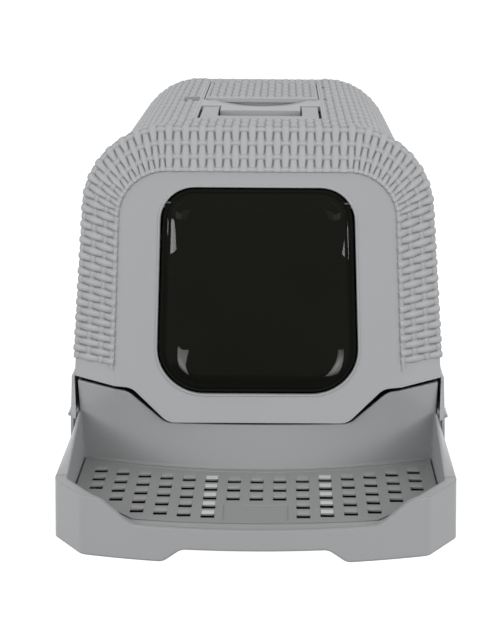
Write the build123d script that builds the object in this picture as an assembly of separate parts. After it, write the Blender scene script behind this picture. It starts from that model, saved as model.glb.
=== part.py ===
from build123d import *
from math import atan2, tan
import os

os.makedirs("parts", exist_ok=True)

# Hooded litter box in millimetres: +Z up, the door faces -Y, the origin is on the
# floor under the middle of the whole box.

# ---- overall size ----
DEPTH = 590.0            # nose of the step to the back wall, at the floor
WIDTH = 403.0            # across the base, at the floor
HEIGHT = 393.5           # floor to the top edge of the front arch
STEP_REACH = 171.0       # nose of the step to the front arch edge
WALL = 3.0               # moulded wall
FIT_GAP = 0.3            # between faces of pieces that seat on one another
RUN_GAP = 0.05           # radial, pin in a turning bore
ARCH_Y = -DEPTH / 2 + STEP_REACH
BACK_Y = DEPTH / 2
FLOOR_HALF = WIDTH / 2

# ---- base shell: the lower walls that the drawer runs in ----
SEAM_Z = 84.0            # where the hood sits on the base
BASE_LEAN = 3.2          # walls lean in this much, floor to seam
BACK_LEAN = 3.0          # the back wall likewise
PLAN_RADIUS = 40.0       # back corners seen from above
LIP_RISE = 7.0           # lip that stands up inside the hood's skirt
LIP_THICK = 2.0
LIP_START = 34.0         # lip starts this far behind the arch edge
RUNNER_WIDTH = 8.0
RUNNER_SPREAD = 240.0    # between the two floor runners
RUNNER_RISE = 2.6

# ---- hood skirt: plain band above the seam ----
SKIRT_RISE = 48.0        # seam to the top of the skirt
SKIRT_LEAN = 2.8
SHOULDER_RISE = 9.0      # sloped ledge from the skirt up to the woven wall

# ---- hood body ----
ARCH_LEDGE = 3.9         # skirt top to the foot of the arch wall
ARCH_LEAN = 22.8         # arch wall leans in, foot to top corner
ARCH_FLAT = 83.8         # half of its flat top, between the rounded corners
ARCH_RIM = 10.0          # straight rim behind the arch edge
FLARE_LENGTH = 38.0      # from the rim down to the body
BODY_DROP = 1.0          # top of the body under the arch edge
BODY_FOOT_INSET = 4.0
BODY_TOP_INSET = 20.2
BODY_TAPER = 6.0         # top corners come in this much more at the back
BODY_FLAT = 68.6
TAIL_FLAT = 66.6
TAIL_GAP = 8.0           # upper back wall stands this far in from the floor line
TAIL_ROUND = 20.0        # rounding of the back edges

# ---- front band and bezel ----
BEZEL_SET = 22.0         # bezel stands this far in front of the arch edge
BAND_DROP = 40.5         # arch edge down to the bezel's top edge
BAND_TOP_INSET = 33.2
BAND_FOOT_INSET = 43.6
BEZEL_RADIUS = 48.0

# ---- doorway ----
DOORWAY_SILL_Z = 120.0
DOORWAY_HEIGHT = 217.8
DOORWAY_TOP_WIDTH = 191.7
DOORWAY_LEAN = 9.7       # each side spreads this much, top to sill
DOORWAY_TOP_RADIUS = 35.0
DOORWAY_LOW_RADIUS = 48.0

# ---- edge between hood and drawer front, a dipped line ----
DIP_Z = 86.8             # bottom of the dip
DIP_HALF = 95.0
DIP_SIDE_HALF = 132.5    # top of the sloping sides
DIP_SIDE_RISE = 37.5
DIP_CREASE_HALF = 150.0
DIP_CREASE_RISE = 39.5
DIP_END_RISE = 44.0      # at the outer ends
DIP_ROUND = 18.0
DIP_GAP = 3.0            # hood edge to drawer edge, in the middle
DIP_SIDE_GAP = 5.0       # the same at the sides
DIP_HOOD_SHARE = 0.4     # share of the gap above the line

# ---- door flap ----
FLAP_GAP = 2.2
FLAP_THICK = 2.5
FLAP_RECESS = 2.5        # border behind the bezel's face
FLAP_BORDER = 2.6
FLAP_SHOULDER = 17.0
FLAP_BULGE = 9.0
DOOR_AXIS_DROP = 16.0    # below the top of the doorway
DOOR_PIN_DIAMETER = 3.0
LUG_INSET = 9.35         # outer end of each round lug, in from the doorway's top width
LUG_LENGTH = 8.0
LUG_DIAMETER = 6.5
SOCKET_INSET = 2.85      # inner end of each socket behind the bezel, likewise
SOCKET_LENGTH = 7.0
SOCKET_SIZE = 9.0

# ---- carry handle and its pocket in the top ----
HANDLE_FRONT = 70.0      # behind the arch edge
HANDLE_REACH = 87.0      # front of the grip to the ends of the arms
HANDLE_WIDTH = 125.0
HANDLE_ARM = 17.5
HANDLE_GRIP = 18.0
HANDLE_THICK = 9.0
HANDLE_SIDE_GAP = 3.0
HANDLE_END_GAP = 4.0
HANDLE_PIN_DIAMETER = 5.0
POCKET_DEPTH = 16.0
FINGER_REACH = 38.0      # behind the grip, up to the plain island
ISLAND_GAP = 1.6

# ---- smooth frame in the hood's top, which carries handle and hatch ----
FRAME_BORDER = 4.0       # round the handle's room and the hatch
FRAME_RADIUS = 3.0

# ---- top hatch ----
HATCH_FRONT = 208.0      # behind the arch edge
HATCH_DEPTH = 152.0
HATCH_WIDTH = 129.0
HATCH_THICK = 3.0
HATCH_GAP = 1.2
HATCH_REAR_GAP = 1.6
HATCH_RADIUS = 5.0
HATCH_LEDGE = 7.0
FRAME_DEPTH = 13.0       # depth of the frame under the hood's top
HATCH_PIN_DIAMETER = 3.0
HATCH_AXIS_DROP = 3.0
HATCH_AXIS_BACK = 3.0    # axis in from the rear edge of the lid
HATCH_LUG_DIAMETER = 5.6
HATCH_LUG_WIDTH = 7.0
HINGE_ROOM = 13.5        # room under the lid ahead of the axis
HATCH_RIM = 4.0          # stiffening rim under the lid
HATCH_RIM_GAP = 1.0
PIN_END_GAP = 0.5
SCOOP_HALF = 52.0        # half width of the dished finger scoop in front of the lid
SCOOP_DEPTH = 6.5

# ---- drawer: litter pan, and the dipped front that carries the step ----
PAN_LIFT = 6.0           # underside of the pan above the floor
PAN_TOP_Z = 85.0
PAN_SIDE = 13.0          # rim of the pan in from the base's outer face
PAN_LEAN = 6.0
PAN_WALL = 2.5
PAN_BACK_GAP = 13.0      # pan to the back wall's outer face
PAN_RADIUS = 34.0
FRONT_SIDE = 12.2        # drawer's front likewise
FRONT_CREASE = 41.3      # creases in from its sides
FRONT_TOP_Z = 140.0      # level of the next three set-outs, before the dip is cut
FRONT_TOP_SET = 23.0     # the front stands this far ahead of the arch
FRONT_TOP_SIDE_SET = 2.0
FRONT_FOOT_SET = 14.0    # at the foot, in the middle
FRONT_FOOT_CREASE = 13.5 # at the foot, at the creases, behind the arch
FRONT_FOOT_SIDE = 21.0
FRONT_THICK = 3.0
FRONT_BOW = 1.0
FRONT_RETURN = 12.0      # side returns reach this far behind the arch edge

# ---- step ----
DECK_Z = 34.0
DECK_THICK = 3.0
STEP_SIDE_Z = 62.0       # side walls
STEP_SIDE_LEAN = 2.2
STEP_SIDE_WIDTH = 14.0   # each side wall, outer to inner face
STEP_BOW = 21.0          # the nose's bow, middle to facets
STEP_FACET_WIDTH = 32.0  # slanting facet at each front corner
STEP_FACET_DEPTH = 41.0
STEP_FACET_RADIUS = 14.0
STEP_CREST_BACK = 8.0    # crest of the side wall starts this far behind the facet
STEP_WALL = 3.0
STEP_BASE_GAP = 3.0      # step side walls to the base shell
NOSE_Z = 36.0            # front wall in the middle
NOSE_HALF = 119.0
NOSE_SHOULDER_HALF = 151.0
NOSE_ROUND = 24.0
NOSE_END_DROP = 0.2      # its outer ends under the side walls' top
SUMP_Z = 14.0            # underside of the sump floor
SUMP_THICK = 2.5
ARCHWAY_HALF = 71.0      # cut between the two feet
ARCHWAY_SPREAD = 18.0
ARCHWAY_ROUND = 14.0
GUSSET_Z = 91.0
GUSSET_TIP = 2.2

# ---- grate ----
GRATE_THICK = 4.4
GRATE_RIM = 6.0          # raised rim round the field
GRATE_SINK = 0.6         # field under the rim's top
GRATE_SKIN = 1.9         # field's thickness between the ribs
GRATE_RIB = 3.0          # ribs under the field, between the columns
GRATE_GAP = 2.0
GRATE_REAR = 19.0        # ahead of the arch, in the middle
GRATE_REAR_BOW = 32.0
GRATE_DEPTH = 131.0
GRATE_CHAMFER = 65.5     # front corners cut off this far along the nose
GRATE_NOSE_BOW = 9.0
GRATE_SIDE_LENGTH = 88.0
GRATE_SEAT = 4.0
COLUMN_COUNT = 15
COLUMN_EDGE = 20.65      # end columns in from the grate's sides
ROW_COUNT = 5
ROW_PITCH = 21.5
SLOT_WIDTH = 13.6
SLOT_LENGTH = 9.0
FIRST_ROW = 49.0         # centre of the first row ahead of the arch
ROW_BOW = 27.0           # how far the end columns sit back
PLATE_COLUMNS = 1        # columns each side of the middle left plain in the last rows
PLATE_ROWS = 2
PLATE_MARGIN = 8.0       # from the next slots to the sunk plain plate in their place
PLATE_START = 107.0      # ahead of the arch
PLATE_SINK = 0.7

# ---- side latches ----
LATCH_FRONT = 5.0        # behind the arch edge
LATCH_REAR = 325.0
LATCH_WIDTH = 25.0
LATCH_PLATE = 2.4
LATCH_SIDE_GAP = 0.6
LATCH_FLUSH = 0.3        # plate in from the wall's outer face at the seam
LATCH_PIVOT_Z = 44.0
LATCH_TOP_Z = 91.0
LATCH_INSET = 2.6        # pivot in from the wall's outer face at the seam
LATCH_PIN_DIAMETER = 2.0
LATCH_BARREL = 1.9
LATCH_POCKET_BACK = 2.2  # pivot to the back of its pocket
LATCH_POCKET_BELOW = 4.0
LATCH_LUG = 3.0
LATCH_LIP = 4.0
LATCH_LIP_HEIGHT = 7.6
NOSE_REACH = 4.0
NOSE_HEIGHT = 2.0
NOSE_BELOW = 2.6         # nose under the latch's top
NOSE_SIDE = 5.0
NOSE_CLEAR = 0.6

# ---- sizes worked out from the above ----
SEAM_HALF = FLOOR_HALF - BASE_LEAN
SEAM_BACK_Y = BACK_Y - BACK_LEAN
SKIRT_TOP_Z = SEAM_Z + SKIRT_RISE
SKIRT_TOP_HALF = SEAM_HALF - SKIRT_LEAN
FOOT_Z = SKIRT_TOP_Z + SHOULDER_RISE
ARCH_FOOT_HALF = SKIRT_TOP_HALF - ARCH_LEDGE
ARCH_TOP_HALF = ARCH_FOOT_HALF - ARCH_LEAN
ARCH_RADIUS = ARCH_TOP_HALF - ARCH_FLAT
BODY_TOP_Z = HEIGHT - BODY_DROP
BODY_FOOT_HALF = ARCH_FOOT_HALF - BODY_FOOT_INSET
BODY_TOP_HALF = ARCH_TOP_HALF - BODY_TOP_INSET
TAIL_TOP_HALF = BODY_TOP_HALF - BODY_TAPER
BODY_RADIUS = BODY_TOP_HALF - BODY_FLAT
TAIL_RADIUS = TAIL_TOP_HALF - TAIL_FLAT
TAIL_Y = BACK_Y - TAIL_GAP
BEZEL_Y = ARCH_Y - BEZEL_SET
BEZEL_TOP_Z = HEIGHT - BAND_DROP
BEZEL_TOP_HALF = ARCH_TOP_HALF - BAND_TOP_INSET
BEZEL_FOOT_HALF = ARCH_FOOT_HALF - BAND_FOOT_INSET
DOORWAY_TOP_Z = DOORWAY_SILL_Z + DOORWAY_HEIGHT
FLAP_Y = BEZEL_Y + FLAP_RECESS
DOOR_AXIS_Y = FLAP_Y + FLAP_THICK / 2
DOOR_AXIS_Z = DOORWAY_TOP_Z - DOOR_AXIS_DROP
LUG_OUT = DOORWAY_TOP_WIDTH / 2 - LUG_INSET
SOCKET_IN = DOORWAY_TOP_WIDTH / 2 - SOCKET_INSET
SOCKET_OUT = SOCKET_IN + SOCKET_LENGTH
HANDLE_Y = ARCH_Y + HANDLE_FRONT
HANDLE_END_Y = HANDLE_Y + HANDLE_REACH
HANDLE_AXIS_Y = HANDLE_END_Y - HANDLE_THICK / 2
HANDLE_AXIS_Z = BODY_TOP_Z - HANDLE_THICK / 2
POCKET_HALF = HANDLE_WIDTH / 2 + HANDLE_SIDE_GAP
HATCH_Y = ARCH_Y + HATCH_FRONT
HATCH_REAR_Y = HATCH_Y + HATCH_DEPTH
HATCH_AXIS_Y = HATCH_REAR_Y - HATCH_AXIS_BACK
HATCH_AXIS_Z = BODY_TOP_Z - HATCH_AXIS_DROP
HATCH_HOLE_HALF = HATCH_WIDTH / 2 + HATCH_GAP
FRAME_HALF = POCKET_HALF + FRAME_BORDER
FRAME_Y = HANDLE_Y - HANDLE_END_GAP / 2 - FRAME_BORDER
FRAME_REAR_Y = HATCH_REAR_Y + HATCH_REAR_GAP + FRAME_BORDER
SCOOP_RADIUS = (SCOOP_HALF ** 2 + SCOOP_DEPTH ** 2) / (2 * SCOOP_DEPTH)
STEP_FRONT_Y = -DEPTH / 2
STEP_FACET_Y = STEP_FRONT_Y + STEP_BOW
STEP_SIDE_Y = STEP_FACET_Y + STEP_FACET_DEPTH
STEP_INNER_HALF = FLOOR_HALF - STEP_SIDE_WIDTH
PAN_HALF = FLOOR_HALF - PAN_SIDE
FRONT_HALF = FLOOR_HALF - FRONT_SIDE
FRONT_CREASE_HALF = FRONT_HALF - FRONT_CREASE
STEP_BACK_Y = ARCH_Y - STEP_BASE_GAP
STEP_TOP_HALF = FLOOR_HALF - STEP_SIDE_LEAN
GRATE_Y = ARCH_Y - GRATE_REAR
GRATE_HALF = STEP_INNER_HALF - GRATE_GAP
GRATE_NOSE_HALF = GRATE_HALF - GRATE_CHAMFER
COLUMN_PITCH = (GRATE_HALF - COLUMN_EDGE) / (COLUMN_COUNT // 2)
PLATE_HALF = (PLATE_COLUMNS + 1) * COLUMN_PITCH - SLOT_WIDTH / 2 - PLATE_MARGIN
GRATE_FOOT_Z = DECK_Z - GRATE_THICK
SUMP_TOP_Z = SUMP_Z + SUMP_THICK
HATCH_LUG_IN = HATCH_WIDTH / 2 - HATCH_LUG_WIDTH
ARM_IN = HANDLE_WIDTH / 2 - HANDLE_ARM
LATCH_X = SEAM_HALF - LATCH_INSET
LATCH_POCKET_X = LATCH_X - LATCH_POCKET_BACK
LIP_SHRINK = WALL + FIT_GAP + SKIRT_LEAN * LIP_RISE / SKIRT_RISE
LIP_HALF = SEAM_HALF - LIP_SHRINK
LIP_BACK_Y = SEAM_BACK_Y - LIP_SHRINK


def box(x0, x1, y0, y1, z0, z1):
    """Block between two corners."""
    block = Box(x1 - x0, y1 - y0, z1 - z0, align=(Align.MIN, Align.MIN, Align.MIN))
    return Pos(x0, y0, z0) * block


def rod_x(x0, x1, y, z, diameter):
    """Round rod along X."""
    rod = Cylinder(diameter / 2, x1 - x0, align=(Align.CENTER, Align.CENTER, Align.MIN))
    return Pos(x0, y, z) * Rot(0, 90, 0) * rod


def rod_y(x, y0, y1, z, diameter):
    """Round rod along Y."""
    rod = Cylinder(diameter / 2, y1 - y0, align=(Align.CENTER, Align.CENTER, Align.MIN))
    return Pos(x, y0, z) * Rot(-90, 0, 0) * rod


def face_xz(y, points, radius=0.0, rounded=()):
    """Closed polygon of (x, z) points at depth y, with the numbered corners rounded."""
    wire = Polyline([Vector(x, y, z) for x, z in points], close=True)
    face = make_face(wire)
    if radius > 0 and rounded:
        corners = [points[i] for i in rounded]
        picked = [v for v in face.vertices() if near_any(v, corners)]
        face = fillet(picked, radius)
    return face


def near_any(vertex, corners):
    """True where a vertex stands on one of the (x, z) corners."""
    return any(abs(vertex.X - x) + abs(vertex.Z - z) < 0.01 for x, z in corners)


def prism_y(y0, y1, points, radius=0.0, rounded=()):
    """Polygon of (x, z) points carried from y0 to y1."""
    face = face_xz(y0, points, radius, rounded)
    return extrude(face, amount=y1 - y0, dir=(0, 1, 0))


def prism_z(z0, z1, face):
    """Plan face drawn at z = 0, carried from z0 to z1."""
    return Pos(0, 0, z0) * extrude(face, amount=z1 - z0, dir=(0, 0, 1))


def plan_face(z, half, y0, y1, radius):
    """Plan rectangle at height z with its two back corners rounded."""
    points = [(-half, y0), (half, y0), (half, y1), (-half, y1)]
    wire = Polyline([Vector(x, y, z) for x, y in points], close=True)
    face = make_face(wire)
    back = [v for v in face.vertices() if v.Y > (y0 + y1) / 2]
    return fillet(back, radius)


def wall_block(z0, half0, back0, z1, half1, back1, y0, radius):
    """Solid between two plan rectangles, for leaning walls."""
    low = plan_face(z0, half0, y0, back0, radius)
    high = plan_face(z1, half1, y0, back1, radius)
    return loft([low, high], ruled=True)


def arch_face(y, low_z, foot_half, top_half, top_z, radius):
    """Arch section: leaning sides and two rounded top corners."""
    slope = (foot_half - top_half) / (top_z - FOOT_Z)
    low_half = foot_half + slope * (FOOT_Z - low_z)
    points = [(-low_half, low_z), (-top_half, top_z), (top_half, top_z), (low_half, low_z)]
    return face_xz(y, points, radius, (1, 2))


def hood_block(inset):
    """Front band, arch rim, flare and body; an inset of one wall gives its hollow."""
    low_z = SEAM_Z - inset
    bezel = arch_face(BEZEL_Y + inset, low_z, BEZEL_FOOT_HALF - inset, BEZEL_TOP_HALF - inset,
                      BEZEL_TOP_Z - inset, BEZEL_RADIUS - inset)
    edge = arch_face(ARCH_Y + inset, low_z, ARCH_FOOT_HALF - inset, ARCH_TOP_HALF - inset,
                     HEIGHT - inset, ARCH_RADIUS - inset)
    rim = arch_face(ARCH_Y + ARCH_RIM, low_z, ARCH_FOOT_HALF - inset, ARCH_TOP_HALF - inset,
                    HEIGHT - inset, ARCH_RADIUS - inset)
    body = arch_face(ARCH_Y + ARCH_RIM + FLARE_LENGTH, low_z, BODY_FOOT_HALF - inset,
                     BODY_TOP_HALF - inset, BODY_TOP_Z - inset, BODY_RADIUS - inset)
    tail = arch_face(TAIL_Y - inset, low_z, BODY_FOOT_HALF - inset, TAIL_TOP_HALF - inset,
                     BODY_TOP_Z - inset, TAIL_RADIUS - inset)
    back_part = loft([body, tail], ruled=True)
    back_face = back_part.faces().sort_by(Axis.Y)[-1]
    lowest = back_face.edges().sort_by(Axis.Z)[0]
    round_edges = [e for e in back_face.edges() if not e.is_same(lowest)]
    back_part = fillet(round_edges, TAIL_ROUND - inset)
    front_part = loft([bezel, edge], ruled=True) + loft([edge, rim], ruled=True)
    return front_part + loft([rim, body], ruled=True) + back_part


def skirt_block(inset):
    """Plain band round the sides and back, from the seam up to the sloped ledge."""
    skirt = wall_block(SEAM_Z, SEAM_HALF - inset, SEAM_BACK_Y - inset, SKIRT_TOP_Z,
                       SKIRT_TOP_HALF - inset, SEAM_BACK_Y - inset, ARCH_Y, PLAN_RADIUS - inset)
    ledge_half = BODY_FOOT_HALF - inset
    ledge = wall_block(SKIRT_TOP_Z, SKIRT_TOP_HALF - inset, SEAM_BACK_Y - inset, FOOT_Z, ledge_half,
                       TAIL_Y - inset, ARCH_Y, PLAN_RADIUS - inset)
    return skirt + ledge


def dip_line(gap_share, end_half):
    """Dipped line from the middle out to the right, moved up by its share of the gap."""
    low = gap_share * DIP_GAP
    high = gap_share * DIP_SIDE_GAP
    run = (end_half - DIP_CREASE_HALF) / (FLOOR_HALF - DIP_CREASE_HALF)
    end_rise = DIP_CREASE_RISE + run * (DIP_END_RISE - DIP_CREASE_RISE)
    return [
        (DIP_HALF - low, DIP_Z + low),
        (DIP_SIDE_HALF - high, DIP_Z + DIP_SIDE_RISE + high),
        (DIP_CREASE_HALF, DIP_Z + DIP_CREASE_RISE + high),
        (end_half, DIP_Z + end_rise + high),
    ]


def dip_prism(y0, y1, gap_share, end_half, close_z):
    """Everything between the dipped line and a level, with the line's bends rounded."""
    right = dip_line(gap_share, end_half) + [(end_half, close_z)]
    left = [(-x, z) for x, z in reversed(right)]
    bends = (0, 1, len(right) * 2 - 2, len(right) * 2 - 1)
    return prism_y(y0, y1, right + left, DIP_ROUND, bends)


def doorway_face(y, inset):
    """Outline of the doorway, or of the flap when inset by its gap."""
    half_top = DOORWAY_TOP_WIDTH / 2 - inset
    half_low = half_top + DOORWAY_LEAN
    top = DOORWAY_TOP_Z - inset
    sill = DOORWAY_SILL_Z + inset
    points = [(-half_low, sill), (-half_top, top), (half_top, top), (half_low, sill)]
    face = face_xz(y, points, DOORWAY_TOP_RADIUS - inset, (1, 2))
    low = [v for v in face.vertices() if abs(v.Z - sill) < 0.01]
    return fillet(low, DOORWAY_LOW_RADIUS - inset)


def latch_places():
    """Side and start of each of the four latches, with the name of its place."""
    rows = (("front", LATCH_FRONT), ("rear", LATCH_REAR))
    sides = (("left", -1), ("right", 1))
    return [(f"{row}_{name}", side, ARCH_Y + start) for row, start in rows for name, side in sides]


def mirrored(shape, side):
    """Shape drawn at +X, carried over to -X when side is negative."""
    return shape if side > 0 else mirror(shape, about=Plane.YZ)


def make_base_shell():
    """Lower walls and floor, open at the front, with runners, lip and latch pockets."""
    outer = wall_block(0, FLOOR_HALF, BACK_Y, SEAM_Z, SEAM_HALF, SEAM_BACK_Y, ARCH_Y, PLAN_RADIUS)
    inner = wall_block(WALL, FLOOR_HALF - WALL, BACK_Y - WALL, SEAM_Z, SEAM_HALF - WALL,
                       SEAM_BACK_Y - WALL, ARCH_Y, PLAN_RADIUS - WALL)
    lip_z = SEAM_Z + LIP_RISE
    lip_y = ARCH_Y + LIP_START
    lip_radius = PLAN_RADIUS - LIP_SHRINK
    lip = prism_z(SEAM_Z - WALL, lip_z, plan_face(0, LIP_HALF, lip_y, LIP_BACK_Y, lip_radius))
    root = prism_z(SEAM_Z - WALL, SEAM_Z, plan_face(0, SEAM_HALF - WALL / 2, lip_y,
                   SEAM_BACK_Y - WALL / 2, PLAN_RADIUS - WALL / 2))
    lip_hole = prism_z(SEAM_Z - WALL, lip_z, plan_face(0, LIP_HALF - LIP_THICK, ARCH_Y,
                       LIP_BACK_Y - LIP_THICK, lip_radius - LIP_THICK))
    base = outer - inner + (lip + root - lip_hole)
    for x in (-RUNNER_SPREAD / 2, RUNNER_SPREAD / 2):
        base += box(x - RUNNER_WIDTH / 2, x + RUNNER_WIDTH / 2, ARCH_Y + WALL,
                    BACK_Y - PLAN_RADIUS / 2, WALL / 2, WALL + RUNNER_RISE)
    for _, side, y0 in latch_places():
        y1 = y0 + LATCH_WIDTH
        z0 = LATCH_PIVOT_Z - LATCH_POCKET_BELOW
        boss = box(LATCH_POCKET_X - WALL, LATCH_X, y0 - LATCH_LUG, y1 + LATCH_LUG, z0 - WALL, SEAM_Z)
        pocket = box(LATCH_POCKET_X, FLOOR_HALF, y0, y1, z0, lip_z)
        lip_cut = box(LATCH_POCKET_X - WALL - 1, SEAM_HALF, y0 - LATCH_LUG - 1, y1 + LATCH_LUG + 1,
                      SEAM_Z, lip_z)
        pin_hole = rod_y(LATCH_X, y0 - LATCH_LUG + PIN_END_GAP, y1 + LATCH_LUG - PIN_END_GAP,
                         LATCH_PIVOT_Z, LATCH_PIN_DIAMETER)
        base += mirrored(boss, side)
        base -= mirrored(pocket + lip_cut + pin_hole, side)
    return base


def handle_pocket():
    """Room that the folded handle lies in, with a plain island left between its arms."""
    y0 = HANDLE_Y - HANDLE_END_GAP / 2
    y1 = HANDLE_END_Y + HANDLE_END_GAP
    floor_z = BODY_TOP_Z - POCKET_DEPTH
    room = box(-POCKET_HALF, POCKET_HALF, y0, y1, floor_z, HEIGHT)
    island_half = ARM_IN - ISLAND_GAP
    island_y = HANDLE_Y + HANDLE_GRIP + FINGER_REACH
    island = box(-island_half, island_half, island_y, y1, floor_z, HEIGHT)
    hollow = box(WALL - island_half, island_half - WALL, island_y + WALL, y1, floor_z - WALL,
                 BODY_TOP_Z - WALL)
    return room - island + hollow


def handle_cup():
    """Walls that hang from the hood's top round the handle's room."""
    y0 = HANDLE_Y - HANDLE_END_GAP / 2 - WALL
    y1 = HANDLE_END_Y + HANDLE_END_GAP + WALL
    half = POCKET_HALF + WALL
    return box(-half, half, y0, y1, BODY_TOP_Z - POCKET_DEPTH - WALL, BODY_TOP_Z - WALL / 2)


def hatch_frame():
    """Frame under the top that the lid seats in, with the scoop's cup ahead of it."""
    half = HATCH_HOLE_HALF + WALL
    low_z = BODY_TOP_Z - FRAME_DEPTH
    frame = box(-half, half, HATCH_Y - HATCH_GAP - WALL, HATCH_REAR_Y + HATCH_REAR_GAP + WALL,
                low_z, BODY_TOP_Z - WALL / 2)
    cup_half = SCOOP_HALF + WALL
    return frame + box(-cup_half, cup_half, HATCH_Y - SCOOP_HALF, HATCH_Y, BODY_TOP_Z - SCOOP_DEPTH - WALL,
                       BODY_TOP_Z - WALL / 2)


def hatch_hole():
    """Lid recess, the hole through its frame and the dished finger scoop in front."""
    half = HATCH_HOLE_HALF
    rear_y = HATCH_REAR_Y + HATCH_REAR_GAP
    below_z = BODY_TOP_Z - FRAME_DEPTH - 1
    recess = box(-half, half, HATCH_Y - HATCH_GAP, rear_y, BODY_TOP_Z - HATCH_THICK - FIT_GAP, HEIGHT)
    recess = fillet(recess.edges().filter_by(Axis.Z), HATCH_RADIUS)
    hole_half = HATCH_WIDTH / 2 - HATCH_LEDGE
    hole = box(-hole_half, hole_half, HATCH_Y + HATCH_LEDGE, rear_y, below_z, HEIGHT)
    hinge_room = box(-half, half, HATCH_AXIS_Y - HINGE_ROOM, rear_y, below_z, HEIGHT)
    scoop = Pos(0, HATCH_Y, BODY_TOP_Z + SCOOP_RADIUS - SCOOP_DEPTH) * Sphere(SCOOP_RADIUS)
    scoop = scoop & box(-SCOOP_HALF, SCOOP_HALF, HATCH_Y - SCOOP_HALF, HATCH_Y + HATCH_LEDGE / 2,
                        BODY_TOP_Z - SCOOP_DEPTH, HEIGHT)
    return recess + hole + hinge_room + scoop


def top_frame_face(grow):
    """Outline of the smooth frame; grown by its gap it is the hole that takes it."""
    half = FRAME_HALF + grow
    points = [(-half, FRAME_Y - grow), (half, FRAME_Y - grow), (half, FRAME_REAR_Y + grow),
              (-half, FRAME_REAR_Y + grow)]
    face = make_face(Polyline([Vector(x, y, 0) for x, y in points], close=True))
    return fillet(face.vertices(), FRAME_RADIUS + grow)


def make_top_frame():
    """Smooth frame in the hood's top with the handle's room, the scoop and the lid's seat."""
    frame = prism_z(BODY_TOP_Z - WALL, BODY_TOP_Z, top_frame_face(0))
    frame += handle_cup() + hatch_frame()
    frame -= handle_pocket()
    frame -= hatch_hole()
    for side in (-1, 1):
        hatch_bore = rod_x(HATCH_HOLE_HALF - 1, HATCH_HOLE_HALF + WALL, HATCH_AXIS_Y, HATCH_AXIS_Z,
                           HATCH_PIN_DIAMETER + 2 * RUN_GAP)
        handle_bore = rod_x(POCKET_HALF - 1, POCKET_HALF + WALL, HANDLE_AXIS_Y, HANDLE_AXIS_Z,
                            HANDLE_PIN_DIAMETER + 2 * RUN_GAP)
        frame -= mirrored(hatch_bore + handle_bore, side)
    return frame


def make_hood_shell():
    """Upper cover: woven body, front band and bezel with the doorway."""
    solid = hood_block(0) + skirt_block(0)
    solid -= box(-FLOOR_HALF, FLOOR_HALF, BEZEL_Y - 1, BACK_Y, 0, SEAM_Z)
    hood = solid - (hood_block(WALL) + skirt_block(WALL))
    hood -= prism_z(BODY_TOP_Z - 2 * WALL, HEIGHT, top_frame_face(FIT_GAP))
    door_bore = DOOR_PIN_DIAMETER + 2 * RUN_GAP
    hood -= dip_prism(BEZEL_Y - 1, ARCH_Y + WALL, DIP_HOOD_SHARE, SKIRT_TOP_HALF - WALL, SEAM_Z - 1)
    hood -= extrude(doorway_face(BEZEL_Y - 1, 0), amount=BEZEL_SET, dir=(0, 1, 0))
    for side in (-1, 1):
        socket = box(SOCKET_IN, SOCKET_OUT, BEZEL_Y + WALL / 2, DOOR_AXIS_Y + SOCKET_SIZE / 2,
                     DOOR_AXIS_Z - SOCKET_SIZE / 2, DOOR_AXIS_Z + SOCKET_SIZE / 2)
        bore = rod_x(LUG_OUT, SOCKET_OUT, DOOR_AXIS_Y, DOOR_AXIS_Z, door_bore)
        hood += mirrored(socket, side)
        hood -= mirrored(bore, side)
    for _, side, y0 in latch_places():
        y1 = y0 + LATCH_WIDTH
        nose_z = LATCH_TOP_Z - NOSE_BELOW
        boss = box(LATCH_POCKET_X - WALL, SEAM_HALF - WALL / 2, y0 - LATCH_LUG, y1 + LATCH_LUG, SEAM_Z,
                   LATCH_TOP_Z + WALL)
        notch = box(LATCH_POCKET_X, FLOOR_HALF, y0, y1, SEAM_Z, LATCH_TOP_Z + NOSE_CLEAR)
        window = box(LATCH_POCKET_X - WALL - 1, LATCH_X, y0 + NOSE_SIDE - NOSE_CLEAR,
                     y1 - NOSE_SIDE + NOSE_CLEAR, nose_z - NOSE_HEIGHT - NOSE_CLEAR, nose_z + NOSE_CLEAR)
        hood += mirrored(boss, side)
        hood -= mirrored(notch + window, side)
    return hood


def front_plan(z, middle_y, crease_y, side_y, back_y, inset):
    """Plan of the drawer's front: bowed middle, two creases and slanting sides."""
    half = FRONT_HALF - inset
    crease = FRONT_CREASE_HALF - inset / 2
    left = Vector(-crease, crease_y + inset, z)
    right = Vector(crease, crease_y + inset, z)
    outline = [
        Line((-half, back_y, z), (-half, side_y + inset, z)),
        Line((-half, side_y + inset, z), left),
        ThreePointArc(left, (0, middle_y + inset, z), right),
        Line(right, (half, side_y + inset, z)),
        Line((half, side_y + inset, z), (half, back_y, z)),
        Line((half, back_y, z), (-half, back_y, z)),
    ]
    return make_face(outline)


def front_block(inset, back_y):
    """Solid behind the drawer's leaning front face, back to back_y."""
    low = front_plan(PAN_LIFT, ARCH_Y - FRONT_FOOT_SET, ARCH_Y + FRONT_FOOT_CREASE,
                     ARCH_Y + FRONT_FOOT_SIDE, back_y, inset)
    high = front_plan(FRONT_TOP_Z, ARCH_Y - FRONT_TOP_SET - FRONT_BOW, ARCH_Y - FRONT_TOP_SET,
                      ARCH_Y - FRONT_TOP_SIDE_SET, back_y, inset)
    return loft([low, high], ruled=True)


def pan_block(inset):
    """Leaning-walled pan; an inset of one wall gives its hollow."""
    back_y = BACK_Y - PAN_BACK_GAP - inset
    return wall_block(PAN_LIFT + inset, PAN_HALF - PAN_LEAN - inset, back_y - PAN_LEAN, PAN_TOP_Z + inset,
                      PAN_HALF - inset, back_y, STEP_BACK_Y - FRONT_TOP_SET, PAN_RADIUS - inset)


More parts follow.
